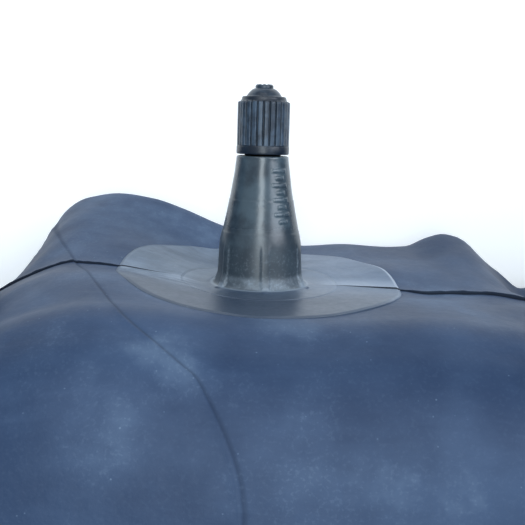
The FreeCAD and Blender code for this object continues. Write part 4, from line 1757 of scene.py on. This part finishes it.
@dataclass(frozen=True)
class SoftBox:
    """A soft studio light.

    Attributes:
        name: Its name.
        place: Where it stands, m.
        aim: What it points at, m.
        size: Its width and height, m.
        power: In watts.
        tint: Its colour.
    """

    name: str
    place: tuple[float, float, float]
    aim: tuple[float, float, float]
    size: tuple[float, float]
    power: float
    tint: Colour = (1.0, 1.0, 1.0)

    def hang(self) -> bpy.types.Object:
        """Makes the light.

        Returns:
            The light, linked to the scene.
        """
        lamp = bpy.data.lights.new(self.name, "AREA")
        lamp.shape = "RECTANGLE"
        lamp.size, lamp.size_y = self.size
        lamp.energy = self.power
        lamp.color = self.tint
        made = bpy.data.objects.new(self.name, lamp)
        made.location = self.place
        way = Vector(self.aim) - Vector(self.place)
        made.rotation_euler = way.to_track_quat("-Z", "Y").to_euler()
        bpy.context.scene.collection.objects.link(made)
        return made


@dataclass
class Studio:
    """The floor, the lights and the camera.

    Attributes:
        valve: The valve's frame.
        stand_off: Camera's distance from the valve's axis, mm.
        eye: Its distance from the patch's plane, mm.
        aside: How far it stands along the tube from the valve, mm.
        dip: How far it looks down towards the patch, degrees.
        roll: How far the valve leans to the right in its view, degrees.
        lens: Focal length, mm.
        sensor: Width of its sensor, mm.
        air: Colour of the light from all round.
        air_strength: How bright that light is.
        floor_reach: Half the floor's width, m.
        floor_cells: How many faces there are along the floor.
        floor_gap: How far the floor lies under the tube, m.
        boxes: The lights.
    """

    valve: ValveFrame
    stand_off: float = 150.0
    eye: float = 30.0
    aside: float = 0.55
    dip: float = 9.7
    roll: float = 1.6
    lens: float = 53.0
    sensor: float = 36.0
    air: Colour = (0.78, 0.87, 1.0)
    air_strength: float = 0.38
    floor_reach: float = 3.0
    floor_cells: int = 12
    floor_gap: float = 0.0002
    boxes: tuple[SoftBox, ...] = (
        SoftBox("key_light", (0.10, -0.95, 0.80), (0.0, 0.15, 0.05), (1.1, 0.8), 6.0, (0.95, 0.98, 1.0)),
        SoftBox("strip_light", (0.0, 0.05, 1.20), (0.0, 0.15, 0.0), (0.34, 1.5), 11.5, (0.85, 0.95, 1.0)),
        SoftBox("side_light", (-0.95, -0.35, 0.75), (0.0, 0.16, 0.05), (0.7, 0.9), 9.5, (0.84, 0.90, 1.0)),
        SoftBox("back_light", (-0.9, 1.2, 0.9), (0.0, 0.0, 0.05), (1.2, 1.0), 4.0, (0.94, 0.97, 1.0)),
    )

    def build(self) -> None:
        """Makes everything that isn't part of the object."""
        self._floor()
        for box in self.boxes:
            box.hang()
        world = bpy.data.worlds.new("studio_air")
        world.use_nodes = True
        air = world.node_tree.nodes["Background"]
        air.inputs["Color"].default_value = (*self.air, 1.0)
        air.inputs["Strength"].default_value = self.air_strength
        bpy.context.scene.world = world
        bpy.context.scene.view_settings.view_transform = "Standard"
        self._camera()

    def _floor(self) -> None:
        """A wide pale sheet, level with the tube's underside."""
        line = np.linspace(-self.floor_reach, self.floor_reach, self.floor_cells + 1)
        x, y = np.meshgrid(line, line, indexing="ij")
        z = np.full_like(x, cad_box[0][2] - self.floor_gap)
        floor = make_piece("studio_floor", np.stack([x, y, z], axis=-1), False, False)
        floor.data.materials.append(StudioPaper().make())

    def _camera(self) -> None:
        """The camera, over the valve and looking at it from the near side."""
        lens = bpy.data.cameras.new("studio_camera")
        lens.lens, lens.sensor_width = self.lens, self.sensor
        lens.clip_start, lens.clip_end = 0.005, 50.0
        camera = bpy.data.objects.new("studio_camera", lens)
        dip, roll = math.radians(self.dip), math.radians(self.roll)
        right, up = Vector((-1, 0, 0)), Vector((0, -math.cos(dip), -math.sin(dip)))
        turned_right = right * math.cos(roll) + up * math.sin(roll)
        turned_up = up * math.cos(roll) - right * math.sin(roll)
        back = turned_right.cross(turned_up)
        axes = Matrix((turned_right, turned_up, back)).transposed().to_4x4()
        axes.translation = Vector(self.valve.place(self.aside, self.eye, self.stand_off).tolist())
        camera.matrix_world = axes
        bpy.context.scene.collection.objects.link(camera)
        bpy.context.scene.camera = camera


# --------------------------------------------------------------------------- all together


def main() -> None:
    """Builds each sub-assembly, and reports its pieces."""
    logging.basicConfig(level=logging.INFO, format="%(message)s")
    valve = ValveFrame.from_parts()
    low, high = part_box("tube_body")
    wall = SoftWall(valve)
    made = [
        TubeSkin(valve, wall, outer=high[0] / MM, tall=(high[2] - low[2]) / MM).build(),
        BasePatch(valve, wall).build(),
        RubberStem(valve, wall).build(),
        BrassStem(valve).build(),
        DustCap(valve).build(),
        *ValveCore(valve).build(),
    ]
    for piece in made:
        log.info("%s: %d faces", piece.name, len(piece.data.polygons))
    Studio(valve).build()


if __name__ == "__main__":
    main()
